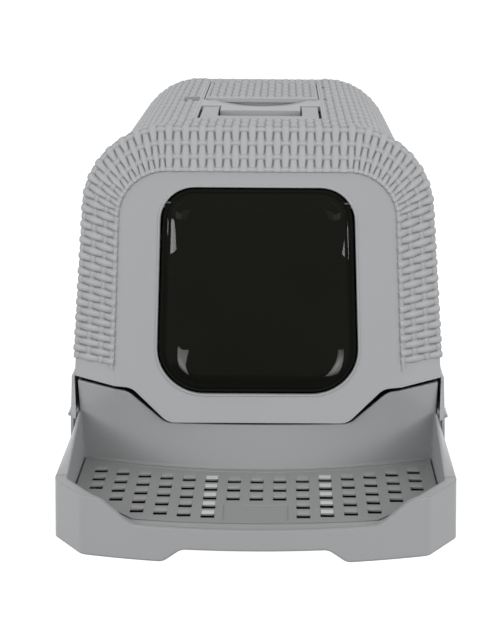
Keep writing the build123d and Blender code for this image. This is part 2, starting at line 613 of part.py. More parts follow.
def make_front_wall():
    """Dipped front wall of the drawer, with short returns along its sides."""
    far_y = ARCH_Y + 2 * FRONT_FOOT_SIDE
    front_wall = front_block(0, far_y) - front_block(FRONT_THICK, far_y)
    front_wall -= box(-FLOOR_HALF, FLOOR_HALF, ARCH_Y + FRONT_RETURN, far_y, PAN_TOP_Z, FRONT_TOP_Z)
    front_wall -= dip_prism(STEP_FRONT_Y, far_y, DIP_HOOD_SHARE - 1, FLOOR_HALF, FRONT_TOP_Z + 1)
    return front_wall


def step_plan(z, half, inset):
    """Plan of the step: straight sides, slanting facets at the corners and a bowed nose."""
    slant = atan2(STEP_FACET_WIDTH, STEP_FACET_DEPTH)
    steep = atan2(STEP_FACET_DEPTH, STEP_FACET_WIDTH)
    side = half - inset
    side_y = STEP_SIDE_Y + inset * tan(slant / 2)
    facet = half - STEP_FACET_WIDTH - inset * tan(steep / 2)
    facet_y = STEP_FACET_Y + inset
    outline = [
        Line((-side, STEP_BACK_Y, z), (-side, side_y, z)),
        Line((-side, side_y, z), (-facet, facet_y, z)),
        ThreePointArc((-facet, facet_y, z), (0, STEP_FRONT_Y + inset, z), (facet, facet_y, z)),
        Line((facet, facet_y, z), (side, side_y, z)),
        Line((side, side_y, z), (side, STEP_BACK_Y, z)),
        Line((side, STEP_BACK_Y, z), (-side, STEP_BACK_Y, z)),
    ]
    face = make_face(outline)
    bends = [v for v in face.vertices() if v.Y < STEP_BACK_Y - 1]
    return fillet(bends, STEP_FACET_RADIUS - inset)


def nose_cut():
    """Everything above the front wall's dipped top edge."""
    top = STEP_SIDE_Z + 1
    end_z = STEP_SIDE_Z - NOSE_END_DROP
    right = [(NOSE_HALF, NOSE_Z), (NOSE_SHOULDER_HALF, STEP_SIDE_Z), (FLOOR_HALF, end_z), (FLOOR_HALF, top)]
    left = [(-x, z) for x, z in reversed(right)]
    return prism_y(STEP_FRONT_Y - 1, STEP_FACET_Y + STEP_WALL, right + left, NOSE_ROUND, (0, 1, 6, 7))


def archway_cut():
    """Room for fingers under the nose, between the step's two feet."""
    right = [(ARCHWAY_HALF, SUMP_Z), (ARCHWAY_HALF + ARCHWAY_SPREAD, 0), (FLOOR_HALF, -1), (FLOOR_HALF, -2)]
    left = [(-x, z) for x, z in reversed(right)]
    return prism_y(STEP_FRONT_Y - 1, STEP_FACET_Y + STEP_WALL, right + left, ARCHWAY_ROUND, (0, 1, 6, 7))


def gusset(side):
    """Side wall's crest, rising to a point where it meets the drawer's front."""
    top = STEP_TOP_HALF
    inner = STEP_INNER_HALF
    low_z = STEP_SIDE_Z - STEP_WALL
    tip = inner + GUSSET_TIP
    rear = [(inner, low_z), (inner, GUSSET_Z), (tip, GUSSET_Z), (top, STEP_SIDE_Z), (top, low_z)]
    crest = STEP_SIDE_Z + 1
    ahead = [(inner, low_z), (inner, crest), (tip, crest), (top, STEP_SIDE_Z), (top, low_z)]
    wedge = loft([face_xz(STEP_BACK_Y, rear), face_xz(STEP_SIDE_Y + STEP_CREST_BACK, ahead)], ruled=True)
    blade = box(inner, tip, STEP_BACK_Y - 1, ARCH_Y + FRONT_FOOT_SIDE, SUMP_Z, GUSSET_Z)
    return mirrored(wedge + blade, side)


def grate_plan(z, grow):
    """Outline of the grate; grown by its gap it is the recess that takes it."""
    half = GRATE_HALF + grow
    rear_y = GRATE_Y + grow
    side_y = rear_y + GRATE_REAR_BOW
    chamfer_y = GRATE_Y + GRATE_REAR_BOW - GRATE_SIDE_LENGTH - grow
    nose_y = GRATE_Y - GRATE_DEPTH - grow
    nose_half = GRATE_NOSE_HALF + grow / 2
    nose_side_y = nose_y + GRATE_NOSE_BOW
    outline = [
        ThreePointArc((-half, side_y, z), (0, rear_y, z), (half, side_y, z)),
        Line((half, side_y, z), (half, chamfer_y, z)),
        Line((half, chamfer_y, z), (nose_half, nose_side_y, z)),
        ThreePointArc((nose_half, nose_side_y, z), (0, nose_y, z), (-nose_half, nose_side_y, z)),
        Line((-nose_half, nose_side_y, z), (-half, chamfer_y, z)),
        Line((-half, chamfer_y, z), (-half, side_y, z)),
    ]
    return make_face(outline)


def slot_places():
    """Centre of each slot in the grate: bowed rows, fewer at the chamfered ends."""
    middle = COLUMN_COUNT // 2
    places = []
    for column in range(COLUMN_COUNT):
        from_end = min(column, COLUMN_COUNT - 1 - column)
        rows = min(ROW_COUNT, ROW_COUNT - 2 + from_end)
        if abs(column - middle) <= PLATE_COLUMNS:
            rows = ROW_COUNT - PLATE_ROWS
        x = (column - middle) * COLUMN_PITCH
        bow = ROW_BOW * ((column - middle) / middle) ** 2
        for row in range(rows):
            places.append((x, ARCH_Y - FIRST_ROW - row * ROW_PITCH + bow))
    return places


def make_step():
    """Step in front of the drawer: walls, deck with the grate's recess, sump and feet."""
    outer = loft([step_plan(0, FLOOR_HALF, 0), step_plan(STEP_SIDE_Z, STEP_TOP_HALF, 0)], ruled=True)
    far_y = ARCH_Y + 2 * FRONT_FOOT_SIDE
    inner = step_plan(0, STEP_INNER_HALF + STEP_WALL, STEP_WALL)
    room = prism_z(DECK_Z, STEP_SIDE_Z + 1, inner)
    sump = prism_z(SUMP_TOP_Z, DECK_Z - DECK_THICK, inner)
    under = prism_z(-1, SUMP_Z, step_plan(0, FLOOR_HALF, STEP_WALL))
    step = outer - room - sump - under - nose_cut()
    for side in (-1, 1):
        slot = box(STEP_INNER_HALF + STEP_WALL, STEP_TOP_HALF - STEP_WALL, STEP_SIDE_Y + STEP_WALL,
                   STEP_BACK_Y - STEP_WALL, -1, STEP_SIDE_Z - STEP_WALL)
        step -= mirrored(slot, side)
        step += gusset(side)
    for z0, z1 in ((DECK_Z - DECK_THICK, DECK_Z), (SUMP_Z, SUMP_TOP_Z)):
        step += box(-STEP_INNER_HALF, STEP_INNER_HALF, STEP_BACK_Y - 1, far_y, z0, z1)
    seat_z = GRATE_FOOT_Z - FIT_GAP - SUMP_THICK
    step += prism_z(seat_z, DECK_Z, grate_plan(0, GRATE_GAP + STEP_WALL)) & prism_z(
        seat_z, DECK_Z, inner_plan_to(far_y))
    step -= prism_z(GRATE_FOOT_Z - FIT_GAP, DECK_Z + 1, grate_plan(0, GRATE_GAP))
    step -= prism_z(SUMP_TOP_Z, DECK_Z, grate_plan(0, -GRATE_SEAT))
    step -= archway_cut()
    return step - front_block(0, far_y + 1)


def inner_plan_to(y1):
    """Plan between the step's side walls, from the nose back to y1."""
    half = STEP_INNER_HALF + STEP_WALL / 2
    points = [(-half, STEP_FRONT_Y), (half, STEP_FRONT_Y), (half, y1), (-half, y1)]
    return make_face(Polyline([Vector(x, y, 0) for x, y in points], close=True))


def make_drawer_front():
    """Dipped front of the drawer and the step, in one moulding."""
    return make_front_wall() + make_step()


def make_drawer_pan():
    """Litter pan, closed in front by the drawer's front."""
    far_y = ARCH_Y + 2 * FRONT_FOOT_SIDE
    ahead = box(-FLOOR_HALF, FLOOR_HALF, STEP_FRONT_Y, far_y, 0, FRONT_TOP_Z)
    ahead -= front_block(FRONT_THICK, far_y)
    return pan_block(0) - pan_block(PAN_WALL) - ahead


def make_step_grate():
    """Slotted plate that lifts out of the step: raised rim, thin field and ribs under it."""
    middle = COLUMN_COUNT // 2
    field_z = DECK_Z - GRATE_SINK
    grate = prism_z(GRATE_FOOT_Z, DECK_Z, grate_plan(0, 0))
    grate -= prism_z(field_z, DECK_Z + 1, grate_plan(0, -GRATE_RIM))
    hollow = prism_z(GRATE_FOOT_Z - 1, field_z - GRATE_SKIN, grate_plan(0, -GRATE_RIM))
    for gap in range(COLUMN_COUNT - 1):
        x = (gap - middle + 0.5) * COLUMN_PITCH
        hollow -= box(x - GRATE_RIB / 2, x + GRATE_RIB / 2, STEP_FRONT_Y, ARCH_Y + GRATE_REAR_BOW,
                      GRATE_FOOT_Z - 1, field_z)
    plain = box(-PLATE_HALF, PLATE_HALF, STEP_FRONT_Y, ARCH_Y - PLATE_START, field_z - PLATE_SINK, DECK_Z)
    plain = plain & prism_z(0, DECK_Z, grate_plan(0, -GRATE_RIM))
    slots = [Pos(x, y, DECK_Z) * Box(SLOT_WIDTH, SLOT_LENGTH, 4 * GRATE_THICK)
             for x, y in slot_places()]
    return grate - hollow - plain - slots


def flap_bulge(back, inset):
    """Domed middle of the flap; moved back and inset by its thickness it is the hollow."""
    start = FLAP_GAP + FLAP_BORDER + inset
    sections = [
        doorway_face(FLAP_Y + back, start),
        doorway_face(FLAP_Y - FLAP_BULGE * 0.6 + back, start + FLAP_SHOULDER * 0.3),
        doorway_face(FLAP_Y - FLAP_BULGE + back, start + FLAP_SHOULDER),
    ]
    return loft(sections, ruled=True)


def make_door_flap():
    """Smoked swing flap with a domed middle and a lug for each pin."""
    border = extrude(doorway_face(FLAP_Y, FLAP_GAP), amount=FLAP_THICK, dir=(0, 1, 0))
    flap = border + flap_bulge(0, 0) - flap_bulge(FLAP_THICK, FLAP_THICK / 2)
    for side in (-1, 1):
        lug = rod_x(LUG_OUT - LUG_LENGTH, LUG_OUT, DOOR_AXIS_Y, DOOR_AXIS_Z, LUG_DIAMETER)
        bore = rod_x(LUG_OUT - LUG_LENGTH, SOCKET_IN, DOOR_AXIS_Y, DOOR_AXIS_Z, DOOR_PIN_DIAMETER)
        flap += mirrored(lug, side)
        flap -= mirrored(bore, side)
    return flap


def pin_pair(inner, outer, y, z, diameter):
    """Two pins along X, one on each side."""
    return [rod_x(inner, outer, y, z, diameter), rod_x(-outer, -inner, y, z, diameter)]


def make_door_pins():
    """Pins that the flap swings on."""
    return pin_pair(LUG_OUT - LUG_LENGTH, SOCKET_OUT - PIN_END_GAP, DOOR_AXIS_Y, DOOR_AXIS_Z,
                    DOOR_PIN_DIAMETER)


def make_carry_handle():
    """U-shaped handle that lies flush in the hood's top."""
    half = HANDLE_WIDTH / 2
    z0 = BODY_TOP_Z - HANDLE_THICK
    bar = box(-half, half, HANDLE_Y, HANDLE_AXIS_Y, z0, BODY_TOP_Z)
    space = box(-ARM_IN, ARM_IN, HANDLE_Y + HANDLE_GRIP, HANDLE_END_Y, z0, BODY_TOP_Z)
    handle = bar - space
    handle = fillet(handle.edges().filter_by(Axis.Z), HANDLE_THICK / 3)
    for side in (-1, 1):
        handle += mirrored(rod_x(ARM_IN, half, HANDLE_AXIS_Y, HANDLE_AXIS_Z, HANDLE_THICK), side)
        square = box(ARM_IN, half, HANDLE_AXIS_Y - HANDLE_THICK, HANDLE_AXIS_Y, z0, BODY_TOP_Z)
        handle += mirrored(square, side)
    return handle - rod_x(-half, half, HANDLE_AXIS_Y, HANDLE_AXIS_Z, HANDLE_PIN_DIAMETER)


def make_handle_pins():
    """Pins that the handle's arms turn on."""
    return pin_pair(ARM_IN, POCKET_HALF + WALL - PIN_END_GAP, HANDLE_AXIS_Y, HANDLE_AXIS_Z,
                    HANDLE_PIN_DIAMETER)


def make_hatch_lid():
    """Top lid with a stiffening rim and two hinge lugs at the rear."""
    half = HATCH_WIDTH / 2
    z0 = BODY_TOP_Z - HATCH_THICK
    lid = box(-half, half, HATCH_Y, HATCH_REAR_Y, z0, BODY_TOP_Z)
    lid = fillet(lid.edges().filter_by(Axis.Z), HATCH_RADIUS)
    rim_half = half - HATCH_LEDGE - HATCH_RIM_GAP
    rim_y = HATCH_Y + HATCH_LEDGE + HATCH_RIM_GAP
    rim_end = HATCH_AXIS_Y - HINGE_ROOM
    rim = box(-rim_half, rim_half, rim_y, rim_end, z0 - HATCH_RIM, z0)
    rim -= box(WALL - rim_half, rim_half - WALL, rim_y + WALL, rim_end - WALL, z0 - HATCH_RIM, z0)
    lid += rim
    for side in (-1, 1):
        lug = rod_x(HATCH_LUG_IN, half, HATCH_AXIS_Y, HATCH_AXIS_Z, HATCH_LUG_DIAMETER)
        lid += mirrored(lug, side)
    return lid - rod_x(-half, half, HATCH_AXIS_Y, HATCH_AXIS_Z, HATCH_PIN_DIAMETER)


def make_hatch_pins():
    """Pins that the lid turns on."""
    return pin_pair(HATCH_LUG_IN, HATCH_HOLE_HALF + WALL - PIN_END_GAP, HATCH_AXIS_Y, HATCH_AXIS_Z,
                    HATCH_PIN_DIAMETER)


def make_latch(side, y0):
    """Side clip: barrel at the foot, plate, inward nose and outward finger lip."""
    a = y0 + LATCH_SIDE_GAP
    b = y0 + LATCH_WIDTH - LATCH_SIDE_GAP
    outer = SEAM_HALF - LATCH_FLUSH
    inner = outer - LATCH_PLATE
    nose_z = LATCH_TOP_Z - NOSE_BELOW
    lip_z = LATCH_TOP_Z - LATCH_LIP_HEIGHT
    latch = box(inner, outer, a, b, LATCH_PIVOT_Z, LATCH_TOP_Z)
    latch += rod_y(LATCH_X, a, b, LATCH_PIVOT_Z, 2 * LATCH_BARREL)
    latch += box(inner - NOSE_REACH, outer, y0 + NOSE_SIDE, y0 + LATCH_WIDTH - NOSE_SIDE,
                 nose_z - NOSE_HEIGHT, nose_z)
    lip = [(inner, lip_z), (outer, lip_z), (outer + LATCH_LIP, lip_z + LATCH_LIP / 2),
           (outer + LATCH_LIP, LATCH_TOP_Z - LATCH_LIP), (outer, LATCH_TOP_Z), (inner, LATCH_TOP_Z)]
    latch += prism_y(a, b, lip)
    latch -= rod_y(LATCH_X, a, b, LATCH_PIVOT_Z, LATCH_PIN_DIAMETER + 2 * RUN_GAP)
    return mirrored(latch, side)


def make_latch_pins():
    """Pin at the foot of each latch, held in the base shell."""
    pins = []
    for _, side, y0 in latch_places():
        pin = rod_y(LATCH_X, y0 - LATCH_LUG + PIN_END_GAP, y0 + LATCH_WIDTH + LATCH_LUG - PIN_END_GAP,
                    LATCH_PIVOT_Z, LATCH_PIN_DIAMETER)
        pins.append(mirrored(pin, side))
    return pins


nodes = {
    "base_shell": make_base_shell(),
    "hood_shell": make_hood_shell(),
    "top_frame": make_top_frame(),
    "drawer_front": make_drawer_front(),
    "drawer_pan": make_drawer_pan(),
    "step_grate": make_step_grate(),
    "door_flap": make_door_flap(),
    "door_pins": Compound(children=make_door_pins()),
    "carry_handle": make_carry_handle(),
    "handle_pins": Compound(children=make_handle_pins()),
    "hatch_lid": make_hatch_lid(),
    "hatch_pins": Compound(children=make_hatch_pins()),
    "latch_pins": Compound(children=make_latch_pins()),
}
for place, side, y0 in latch_places():
    nodes[f"latch_{place}"] = make_latch(side, y0)
for name, shape in nodes.items():
    export_step(shape, f"parts/{name}.step")
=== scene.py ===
import math

import bmesh
import bpy
from bpy.props import FloatProperty, FloatVectorProperty, PointerProperty
from mathutils import Matrix, Vector
from mathutils.bvhtree import BVHTree
from mathutils.interpolate import poly_3d_calc


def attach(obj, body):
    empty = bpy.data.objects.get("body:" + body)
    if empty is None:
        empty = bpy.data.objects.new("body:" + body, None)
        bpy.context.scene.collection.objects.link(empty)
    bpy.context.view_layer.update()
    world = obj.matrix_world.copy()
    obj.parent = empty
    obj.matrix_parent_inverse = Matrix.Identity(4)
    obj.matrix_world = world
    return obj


bl_info = {
    "name": "Hooded litter box",
    "version": (1, 0, 0),
    "blender": (4, 5, 0),
    "location": "3D View > Sidebar > Litter box",
    "description": "Finishes and small forms of a hooded litter box with a woven-look cover",
    "category": "Object",
}

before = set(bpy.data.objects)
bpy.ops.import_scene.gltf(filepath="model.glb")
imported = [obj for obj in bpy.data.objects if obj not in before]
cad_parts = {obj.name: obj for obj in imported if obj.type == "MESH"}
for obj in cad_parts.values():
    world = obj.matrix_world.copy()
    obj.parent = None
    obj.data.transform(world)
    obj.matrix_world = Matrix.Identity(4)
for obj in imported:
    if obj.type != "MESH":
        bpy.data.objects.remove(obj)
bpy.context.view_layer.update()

# ---- sizes that the dressing shares with the moulded parts, in metres ----
ARCH_Y = -0.124             # front edge of the arch rim
BEZEL_Y = -0.146            # face of the bezel
TAIL_Y = 0.287              # back wall of the hood
FOOT_Z = 0.141              # level of the foot half widths below
TOP_Z = 0.3925              # flat top of the body
ARCH_TOP_Z = 0.3935
BEZEL_TOP_Z = 0.353
RIM_END = ARCH_Y + 0.010    # the arch keeps its cross-section up to here
BODY_START = ARCH_Y + 0.048     # the shoulder behind the arch ends here
# foot half width, top half width, top level and corner radius of each cross-section
BEZEL_SECTION = (0.148, 0.1356, BEZEL_TOP_Z, 0.048)
ARCH_SECTION = (0.1916, 0.1688, ARCH_TOP_Z, 0.085)
BODY_SECTION = (0.1876, 0.1486, TOP_Z, 0.080)
TAIL_SECTION = (0.1876, 0.1426, TOP_Z, 0.076)
POCKET_HALF = 0.0655
POCKET_FRONT_Y = ARCH_Y + 0.068
HATCH_FRONT_Y = ARCH_Y + 0.208
HATCH_REAR_Y = HATCH_FRONT_Y + 0.152
HATCH_HALF = 0.0645
DOORWAY_SILL_Z = 0.120
DOORWAY_TOP_Z = 0.3378
DOORWAY_TOP_HALF = 0.09585
DOORWAY_LEAN = 0.0097       # each side spreads this much from top to sill
DOORWAY_TOP_RADIUS = 0.035
DOORWAY_LOW_RADIUS = 0.048
FLAP_Y = -0.1435            # face of the flap's flat border
DOME_START = 0.0048         # from the doorway's edge in to the foot of the dome
FIELD_Z = 0.0334            # slotted field of the grate
SUMP_Z = 0.0165             # bottom of the sump
COLUMN_COUNT = 15
COLUMN_PITCH = 0.02355
ROW_COUNT = 5
END_ROWS = 3                # rows in the outermost columns
ROW_PITCH = 0.0215
FIRST_ROW = 0.049           # from the arch forward to the rear row, in the middle
ROW_BOW = 0.027             # how far the outer columns lie behind the middle ones
SLOT_LENGTH = 0.009
PLAIN_COLUMNS = 1           # columns each side of the middle that stop at the plain field
PLAIN_ROWS = 2
IMAGE_SIZE = (502, 642)

# ---- small steps between surfaces, in metres ----
HAIR = 0.0001               # keeps two faces from lying in one plane
SNAP_REACH = 0.006          # how far a base point may move on to the moulded part
EDGE_FOOT = 0.00008         # foot of a stave or hoop past its edge
STAVE_SHOULDER = 0.00025    # shoulder of a stave inside its edge
HOOP_SHOULDER = 0.0003


class WeaveSizes(bpy.types.PropertyGroup):
    """Sizes of the moulded weave."""

    stave_pitch: FloatProperty(name="Stave pitch", description="Distance between neighbouring staves",
                               default=0.0083, unit="LENGTH")
    stave_start: FloatProperty(name="Stave start", description="Centre of the stave next to the middle",
                               default=0.0026, unit="LENGTH")
    stave_width: FloatProperty(name="Stave width", description="Mean width of a stave",
                               default=0.0064, unit="LENGTH")
    stave_swell: FloatProperty(name="Stave swell", description="Extra width of a stave over a hoop",
                               default=0.0007, unit="LENGTH")
    crown: FloatProperty(name="Crown", description="Height of a stave over a hoop", default=0.0032,
                         unit="LENGTH")
    dip: FloatProperty(name="Dip", description="Height of a stave where it goes under a hoop",
                       default=0.0010, unit="LENGTH")
    hoop_rise: FloatProperty(name="Hoop rise", description="Height of a hoop over a stave",
                             default=0.0026, unit="LENGTH")
    hoop_width: FloatProperty(name="Hoop width", description="Width of a hoop", default=0.0046, unit="LENGTH")
    hoop_pitch: FloatProperty(name="Hoop pitch", description="Distance between hoops on the body",
                              default=0.0145, unit="LENGTH")
    foot_z: FloatProperty(name="Weave foot", description="Level where the weave ends on the sides",
                          default=0.146, unit="LENGTH")


class DetailSizes(bpy.types.PropertyGroup):
    """Sizes of the small forms."""

    bead_width: FloatProperty(name="Bead width", description="Bead round the doorway and the bezel",
                              default=0.0026, unit="LENGTH")
    bead_rise: FloatProperty(name="Bead rise", description="Height of the bead", default=0.0013,
                             unit="LENGTH")
    pillow: FloatProperty(name="Pillow", description="Extra swell in the middle of the flap", default=0.006,
                          unit="LENGTH")
    frame_width: FloatProperty(name="Top frame", description="Smooth frame round the handle and the lid",
                               default=0.003, unit="LENGTH")
    # pads painted lighter for the lit far walls behind the slots of the grate
    pad_length: FloatProperty(name="Pad length", description="Shallow pad behind each slot of the grate",
                              default=0.0075, unit="LENGTH")
    pad_width: FloatProperty(name="Pad width", description="Width of the same pad", default=0.0122,
                             unit="LENGTH")


class Finishes(bpy.types.PropertyGroup):
    """Colours of the plastics, of the painted shade in the weave, the top marks and the sump, and of the
    painted light on the grate's pads.
    """

    cover: FloatVectorProperty(name="Cover", description="Colour of the woven cover", subtype="COLOR",
                               default=(0.330, 0.336, 0.345), min=0, max=1)
    handle: FloatVectorProperty(name="Handle", description="Colour of the carry handle", subtype="COLOR",
                                default=(0.285, 0.290, 0.298), min=0, max=1)
    # painted shade: the dark colour of the bottoms of the weave's gaps and of the marks for the thumb groove
    # and catch holes, where only shade falls
    seams: FloatVectorProperty(name="Seams", description="Shaded bottoms of the gaps in the weave",
                               subtype="COLOR", default=(0.190, 0.191, 0.195), min=0, max=1)
    drawer: FloatVectorProperty(name="Drawer", description="Colour of the drawer and its step",
                                subtype="COLOR", default=(0.290, 0.298, 0.302), min=0, max=1)
    grate: FloatVectorProperty(name="Grate", description="Colour of the grate", subtype="COLOR",
                               default=(0.245, 0.250, 0.246), min=0, max=1)
    # painted light: the pads are lighter than the grate where the lit far wall of each slot shows
    pads: FloatVectorProperty(name="Pads", description="Pads of the grate", subtype="COLOR",
                              default=(0.290, 0.292, 0.290), min=0, max=1)
    # painted light: pale pads for the bright light seen in two columns of slots
    pale_pads: FloatVectorProperty(name="Pale pads", description="Pads of two columns of the grate",
                                   subtype="COLOR", default=(0.52, 0.52, 0.52), min=0, max=1)
    # painted shade: near-black colour of the sheet in the sump, where only shade falls under the grate
    liner: FloatVectorProperty(name="Liner", description="Mat in the sump", subtype="COLOR",
                               default=(0.010, 0.009, 0.008), min=0, max=1)
    smoke: FloatVectorProperty(name="Smoked plastic", description="Tint of the flap", subtype="COLOR",
                               default=(0.0076, 0.0075, 0.0060), min=0, max=1)
    steel: FloatVectorProperty(name="Pins", description="Colour of the hinge pins", subtype="COLOR",
                               default=(0.10, 0.10, 0.105), min=0, max=1)


class StageSizes(bpy.types.PropertyGroup):
    """Camera, floor and light."""

    camera_at: FloatVectorProperty(name="Camera", description="Place of the camera", subtype="XYZ",
                                   unit="LENGTH", default=(0.025, -1.514, 0.618))
    pitch: FloatProperty(name="Pitch", description="How far the camera looks down", unit="ROTATION",
                         default=math.radians(17.0))
    yaw: FloatProperty(name="Yaw", description="How far the camera looks to the left", unit="ROTATION",
                       default=math.radians(-0.38))
    roll: FloatProperty(name="Roll", description="Clockwise turn of the picture", unit="ROTATION",
                        default=math.radians(0.45))
    focal_px: FloatProperty(name="Focal length", description="Focal length in pixels", default=1400.0)
    shift_px: FloatProperty(name="Shift", description="Sideways shift in pixels", default=40.0)
    floor_size: FloatProperty(name="Floor size", description="Side of the floor", default=120.0,
                              unit="LENGTH")
    sky: FloatProperty(name="Sky", description="Strength of the even light", default=0.97)
    ground: FloatProperty(name="Ground", description="Strength of the light from below", default=0.05)
    key: FloatProperty(name="Key light", description="Power of the right front light", default=11.5)
    left_share: FloatProperty(name="Left share", description="Left front light as a share of the right one",
                              default=0.88)
    side: FloatProperty(name="Side light", description="Power of the low side lights", default=7.5)
    glow: FloatProperty(name="Reflected light", description="Brightness of the panels that show in the flap",
                        default=6.0)
    glow_spread: FloatProperty(name="Reflected spread", description="Angle into which those panels shine",
                               unit="ROTATION", default=math.radians(56))


# ---- materials ----
# scales of the textures, per metre
MOTTLE_SCALE = 9.0
SMUDGE_SCALE = 26.0
GRAIN_SCALE = 1400.0
FLOW_SCALE = 14.0
MARK_SCALE = 900.0
# shares by which a colour drifts, and how far the roughness does
MOTTLE_DRIFT = 0.025
FLOW_DRIFT = 0.10
MARK_DRIFT = 0.06
ROUGH_DRIFT = 0.05
GRAIN_DEPTH = 0.0003
FLOW_DEPTH = 0.001
FLOW_STRENGTH = 0.05
PLASTIC_IOR = 1.5
PLASTIC_SPECULAR = 0.45
SMOKED_IOR = 1.49
SMOKED_SPECULAR = 0.015
SMOKED_CLEARNESS = 0.03
SMOKED_ROUGH = (0.02, 0.05)
STEEL_ROUGH = (0.25, 0.40)
# moulded finishes: colour in Finishes, roughness, strength of the grain, radius of rounded edges
MOULDED = {
    "Woven cover": ("cover", 0.50, 0.10, 0.0),
    "Smooth cover": ("cover", 0.42, 0.08, 0.0008),
    "Handle": ("handle", 0.42, 0.08, 0.0008),
    # painted shade for the bottoms of the weave's gaps and the top marks
    "Weave seams": ("seams", 0.70, 0.10, 0.0),
    # painted light of the slots' lit far walls
    "Grate pads": ("pads", 0.45, 0.06, 0.0),
    # painted light of the bright slots in two columns
    "Pale pads": ("pale_pads", 0.45, 0.06, 0.0),
    # painted shade of the sump
    "Sump liner": ("liner", 0.85, 0.20, 0.0),
    "Drawer": ("drawer", 0.36, 0.05, 0.003),
    "Grate": ("grate", 0.34, 0.30, 0.0005),
}


def new_material(name):
    """Empty node material with its output and surface shader."""
    material = bpy.data.materials.new(name)
    material.use_nodes = True
    tree = material.node_tree
    tree.nodes.clear()
    output = tree.nodes.new("ShaderNodeOutputMaterial")
    shader = tree.nodes.new("ShaderNodeBsdfPrincipled")
    tree.links.new(shader.outputs["BSDF"], output.inputs["Surface"])
    return material, tree, shader


def noise(tree, coords, scale, detail=3.0):
    """Noise texture in object space."""
    node = tree.nodes.new("ShaderNodeTexNoise")
    node.inputs["Scale"].default_value = scale
    node.inputs["Detail"].default_value = detail
    tree.links.new(coords.outputs["Object"], node.inputs["Vector"])
    return node


def tint(tree, colour, amount, factor):
    """Colour that drifts a little darker and lighter with factor."""
    mix = tree.nodes.new("ShaderNodeMix")
    mix.data_type = "RGBA"
    mix.inputs["A"].default_value = tuple(c * (1 - amount) for c in colour) + (1.0,)
    mix.inputs["B"].default_value = tuple(min(c * (1 + amount), 1.0) for c in colour) + (1.0,)
    tree.links.new(factor, mix.inputs["Factor"])
    return mix.outputs["Result"]


def spread(tree, value, low, high):
    """Value from 0 to 1 mapped to low and high."""
    node = tree.nodes.new("ShaderNodeMapRange")
    node.inputs["To Min"].default_value = low
    node.inputs["To Max"].default_value = high
    tree.links.new(value, node.inputs["Value"])
    return node.outputs["Result"]


def bump(tree, height, strength, distance):
    """Bump from a height."""
    node = tree.nodes.new("ShaderNodeBump")
    node.inputs["Strength"].default_value = strength
    node.inputs["Distance"].default_value = distance
    tree.links.new(height, node.inputs["Height"])
    return node


def moulded_plastic(name, colour, rough, grain, edge):
    """Moulded plastic: soft mottling, fine spark-eroded grain and, where edge is above 0, rounded edges."""
    material, tree, shader = new_material(name)
    coords = tree.nodes.new("ShaderNodeTexCoord")
    mottle = noise(tree, coords, MOTTLE_SCALE)
    fine = noise(tree, coords, GRAIN_SCALE, detail=2.0)
    smudge = noise(tree, coords, SMUDGE_SCALE, detail=4.0)
    tree.links.new(tint(tree, colour, MOTTLE_DRIFT, mottle.outputs["Fac"]), shader.inputs["Base Color"])
    gloss = spread(tree, smudge.outputs["Fac"], rough - ROUGH_DRIFT, rough + ROUGH_DRIFT)
    tree.links.new(gloss, shader.inputs["Roughness"])
    relief = bump(tree, fine.outputs["Fac"], grain, GRAIN_DEPTH)
    if edge > 0:
        corner = tree.nodes.new("ShaderNodeBevel")
        corner.samples = 4
        corner.inputs["Radius"].default_value = edge
        tree.links.new(corner.outputs["Normal"], relief.inputs["Normal"])
    tree.links.new(relief.outputs["Normal"], shader.inputs["Normal"])
    shader.inputs["IOR"].default_value = PLASTIC_IOR
    shader.inputs["Specular IOR Level"].default_value = PLASTIC_SPECULAR
    return material


def smoked_plastic(name, colour):
    """Dark, faintly see-through plastic with a polished skin and faint flow marks."""
    material, tree, shader = new_material(name)
    coords = tree.nodes.new("ShaderNodeTexCoord")
    flow = noise(tree, coords, FLOW_SCALE, detail=2.0).outputs["Fac"]
    tree.links.new(tint(tree, colour, FLOW_DRIFT, flow), shader.inputs["Base Color"])
    tree.links.new(spread(tree, flow, *SMOKED_ROUGH), shader.inputs["Roughness"])
    tree.links.new(bump(tree, flow, FLOW_STRENGTH, FLOW_DEPTH).outputs["Normal"], shader.inputs["Normal"])
    shader.inputs["IOR"].default_value = SMOKED_IOR
    shader.inputs["Specular IOR Level"].default_value = SMOKED_SPECULAR
    shader.inputs["Transmission Weight"].default_value = SMOKED_CLEARNESS
    return material


def drawn_steel(name, colour):
    """Dull pin stock with fine marks."""
    material, tree, shader = new_material(name)
    coords = tree.nodes.new("ShaderNodeTexCoord")
    marks = noise(tree, coords, MARK_SCALE).outputs["Fac"]
    tree.links.new(tint(tree, colour, MARK_DRIFT, marks), shader.inputs["Base Color"])
    tree.links.new(spread(tree, marks, *STEEL_ROUGH), shader.inputs["Roughness"])
    shader.inputs["Metallic"].default_value = 1.0
    return material


def finish_of(name):
    """Finish by name, made once from the colours in Finishes."""
    found = bpy.data.materials.get(name)
    if found:
        return found
    colours = bpy.context.scene.litter_box_finishes
    if name == "Smoked plastic":
        return smoked_plastic(name, tuple(colours.smoke))
    if name == "Pin steel":
        return drawn_steel(name, tuple(colours.steel))
    colour, rough, grain, edge = MOULDED[name]
    return moulded_plastic(name, tuple(getattr(colours, colour)), rough, grain, edge)


# ---- shapes ----


def add_mesh(name, verts, faces, finish, body, smooth=True):
    """Mesh object with its finish, riding on a body."""
    mesh = bpy.data.meshes.new(name)
    mesh.from_pydata(verts, [], faces)
    mesh.validate()
    obj = bpy.data.objects.new(name, mesh)
    bpy.context.scene.collection.objects.link(obj)
    mesh.materials.append(finish_of(finish))
    mesh.polygons.foreach_set("use_smooth", [smooth] * len(mesh.polygons))
    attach(obj, body)
    return obj


def section_lengths(section):
    """Flat and corner lengths of a cross-section, level where its side starts, and the side's lean."""
    foot_half, top_half, top_z, radius = section
    lean = math.atan2(foot_half - top_half, top_z - FOOT_Z)
    turn = math.pi / 2 - lean
    tangent = radius * math.tan(turn / 2)
    flat = top_half - tangent
    arc = radius * turn
    side_top_z = top_z - tangent * math.cos(lean)
    return flat, arc, side_top_z, lean


